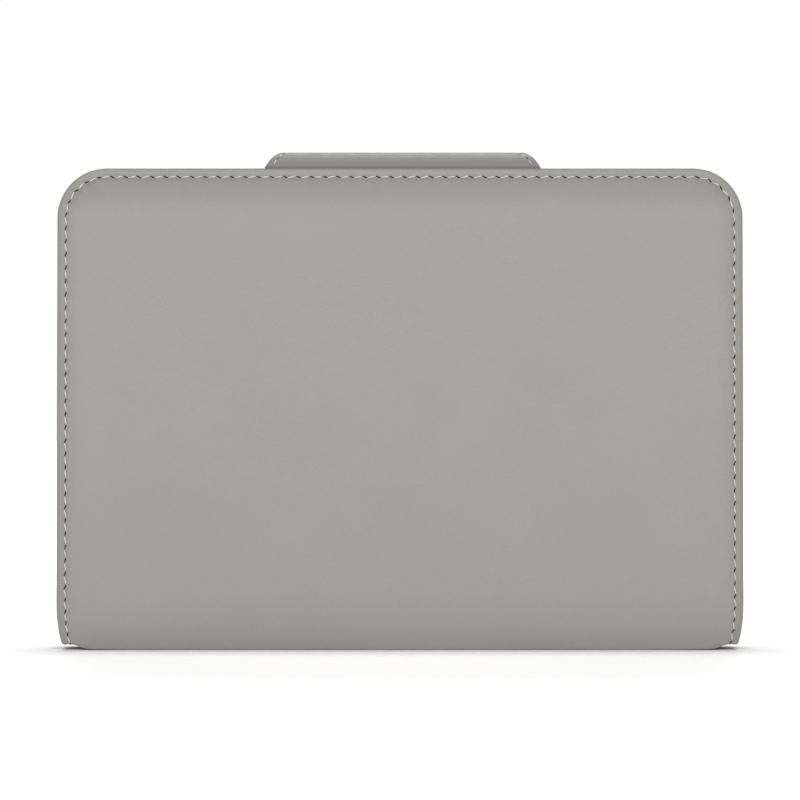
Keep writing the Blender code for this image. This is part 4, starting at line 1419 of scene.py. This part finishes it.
def build_pad(finishes):
    """Separate leaves over the backing, the lowest dipping off the pocket's edge, and the head's tape."""
    dip_left, dip_right = PAD_PANEL_END - DIP, PAD_PANEL_END + DIP
    x_lines = [-PAD_HALF, *np.linspace(dip_left, dip_right, DIP_LINES), PAD_HALF]
    middle = (PAD_LOW + PAD_HIGH) / 2
    for group in ("block", "top"):
        numbers = range(LEAVES - 1) if group == "block" else [LEAVES - 1]
        stack = bmesh.new()
        for number in numbers:
            leaf = ruled_grid(x_lines, [PAD_LOW, PAD_HIGH])
            shift = Vector([noise.noise(Vector((number, row, 0))) for row in LEAF_ROWS]) * LEAF_SHIFT

            def place(x, z, under, number=number, shift=shift):
                low = PAD_ON_PANEL + (PAD_ON_BACKING - PAD_ON_PANEL) * smooth((x - dip_left) / (2 * DIP))
                leaf_share = (number + (0 if under else LEAF_SHARE)) / LEAVES
                x -= math.copysign(shift.x, x)
                z -= math.copysign(shift.y, z - middle)
                return on_cover(BACK, x, z, low + (PAD_TOP - low) * leaf_share)

            thicken(leaf, place)
            mesh = bpy.data.meshes.new("leaf")
            leaf.to_mesh(mesh)
            leaf.free()
            stack.from_mesh(mesh)
            bpy.data.meshes.remove(mesh)
        finish = finishes["paper"] if group == "block" else finishes["ruled"]
        dress(f"pad_leaves_{group}", stack, finish, "paper", ("pad_sheets",), "writing_pad", sharp=20)
    build_tape(finishes)


def build_tape(finishes):
    """Cloth tape from under the backing, round the head and a little way over the top leaf."""
    end = PAD_HALF + TAPE_OUT
    turn = arc(end - TAPE_CORNER, TAPE_TOP - TAPE_CORNER, TAPE_CORNER, 0, 90, TAPE_CORNER_STEPS)
    path = np.array([(end, COVER + GAP), *turn, (PAD_HALF - TAPE_REACH, TAPE_TOP)])
    runs = run_lengths(path)
    sheet = ruled_grid(list(runs), [PAD_LOW, *even_lines(PAD_LOW, PAD_HIGH, TAPE_STEP), PAD_HIGH])
    size = flat_size(sheet)

    def place(run, z, under):
        on = at_run(path, runs, run)
        ahead = at_run(path, runs, run + TAPE_LOOK) - at_run(path, runs, run - TAPE_LOOK)
        out = Vector((ahead[1], -ahead[0])).normalized() * (-TAPE_HALF if under else TAPE_HALF)
        return on_cover(BACK, on[0] + out.x, z, on[1] + out.y)

    tape = thicken(sheet, place)
    piece = dress("pad_tape", tape, finishes["tape"], "binding_tape", ("pad_binding",), "writing_pad")
    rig.sheet(piece, held="folded", **size)


def finish_nodes(finishes):
    """The solids whose shape is right as it is."""
    for finish, nodes in (
        ("board", ("back_board", "front_board", "pad_backing")),
        ("steel", ("closure_plate",)),
        ("core", ("flap_core",)),
        ("magnet", ("flap_magnet",)),
    ):
        for name in nodes:
            for slot in frame["nodes"][name].material_slots:
                slot.material = finishes[finish]


# Studio


def build_camera():
    data = bpy.data.cameras.new("camera")
    data.sensor_width = SENSOR
    data.lens = SENSOR * (CAMERA_AWAY - HALF) / (IMAGE_WIDTH * SCALE)
    camera = bpy.data.objects.new("camera", data)
    bpy.context.collection.objects.link(camera)
    camera.location = (0, -CAMERA_AWAY, CAMERA_UP)
    camera.rotation_euler = (math.pi / 2, 0, 0)
    bpy.context.scene.camera = camera


def build_floor():
    """A pale floor that reads as white where no shadow falls on it."""
    disc = bmesh.new()
    bmesh.ops.create_circle(disc, cap_ends=True, radius=FLOOR_RADIUS, segments=64)
    bmesh.ops.translate(disc, verts=disc.verts, vec=(0, 0, -FLOOR_BELOW))
    mesh = bpy.data.meshes.new("floor")
    disc.to_mesh(mesh)
    disc.free()
    floor = bpy.data.objects.new("floor", mesh)
    bpy.context.collection.objects.link(floor)
    paint = Finish("floor_paint", 0.9, Specular_IOR_Level=0.0)
    path = paint.node("ShaderNodeLightPath").outputs
    seen = path["Is Camera Ray"]
    for kind in ("Is Glossy Ray", "Is Transmission Ray"):
        seen = paint.maths("MAXIMUM", seen, path[kind])
    paint.colour(paint.mix(seen, (FLOOR_BOUNCE,) * 3, (FLOOR_SEEN,) * 3))
    place = paint.node("ShaderNodeTexCoord").outputs["Object"]
    away = paint.node("ShaderNodeVectorMath", {0: place}, operation="LENGTH").outputs["Value"]
    glow = paint.spread(away, GLOW_NEAR, GLOW_FAR)
    paint.feed(paint.shader.inputs["Emission Strength"], paint.maths("MULTIPLY", seen, glow))
    paint.shader.inputs["Emission Color"].default_value = (1, 1, 1, 1)
    mesh.materials.append(paint.material)
    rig.stage(floor)


def build_light():
    for name, place, size, power in LAMPS:
        data = bpy.data.lights.new(name, "AREA")
        data.shape = "RECTANGLE"
        data.size, data.size_y = size
        data.energy = power
        lamp = bpy.data.objects.new(name, data)
        bpy.context.collection.objects.link(lamp)
        lamp.location = place
        towards = Vector((0, 0, HEIGHT / 2)) - lamp.location
        lamp.rotation_euler = towards.to_track_quat("-Z", "Y").to_euler()
    world = bpy.data.worlds.new("studio")
    world.use_nodes = True
    bpy.context.scene.world = world
    tree = world.node_tree
    back = tree.nodes["Background"]
    back.inputs["Color"].default_value = (1, 1, 1, 1)
    path = tree.nodes.new("ShaderNodeLightPath")
    seen = tree.nodes.new("ShaderNodeMapRange")
    tree.links.new(path.outputs["Is Camera Ray"], seen.inputs["Value"])
    seen.inputs["To Min"].default_value = DOME
    seen.inputs["To Max"].default_value = 1.0
    tree.links.new(seen.outputs["Result"], back.inputs["Strength"])


def main():
    build_camera()
    finishes = build_finishes()
    for side in (BACK, FRONT):
        build_cover_skin(side, finishes)
        build_lining(side, finishes)
    build_spine_board(finishes)
    build_strap(finishes)
    build_pad_pocket(finishes)
    build_document_pocket(finishes)
    build_card_slots(finishes)
    build_pen_loop(finishes)
    build_pad(finishes)
    finish_nodes(finishes)
    build_floor()
    build_light()
    bpy.context.scene.view_settings.view_transform = "Standard"
    boxes = {"cad": [list(corner) for corner in CAD_BOX], "visual": [list(corner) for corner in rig.bounds()]}
    with open("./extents.json", "w") as file:
        json.dump(boxes, file)


main()
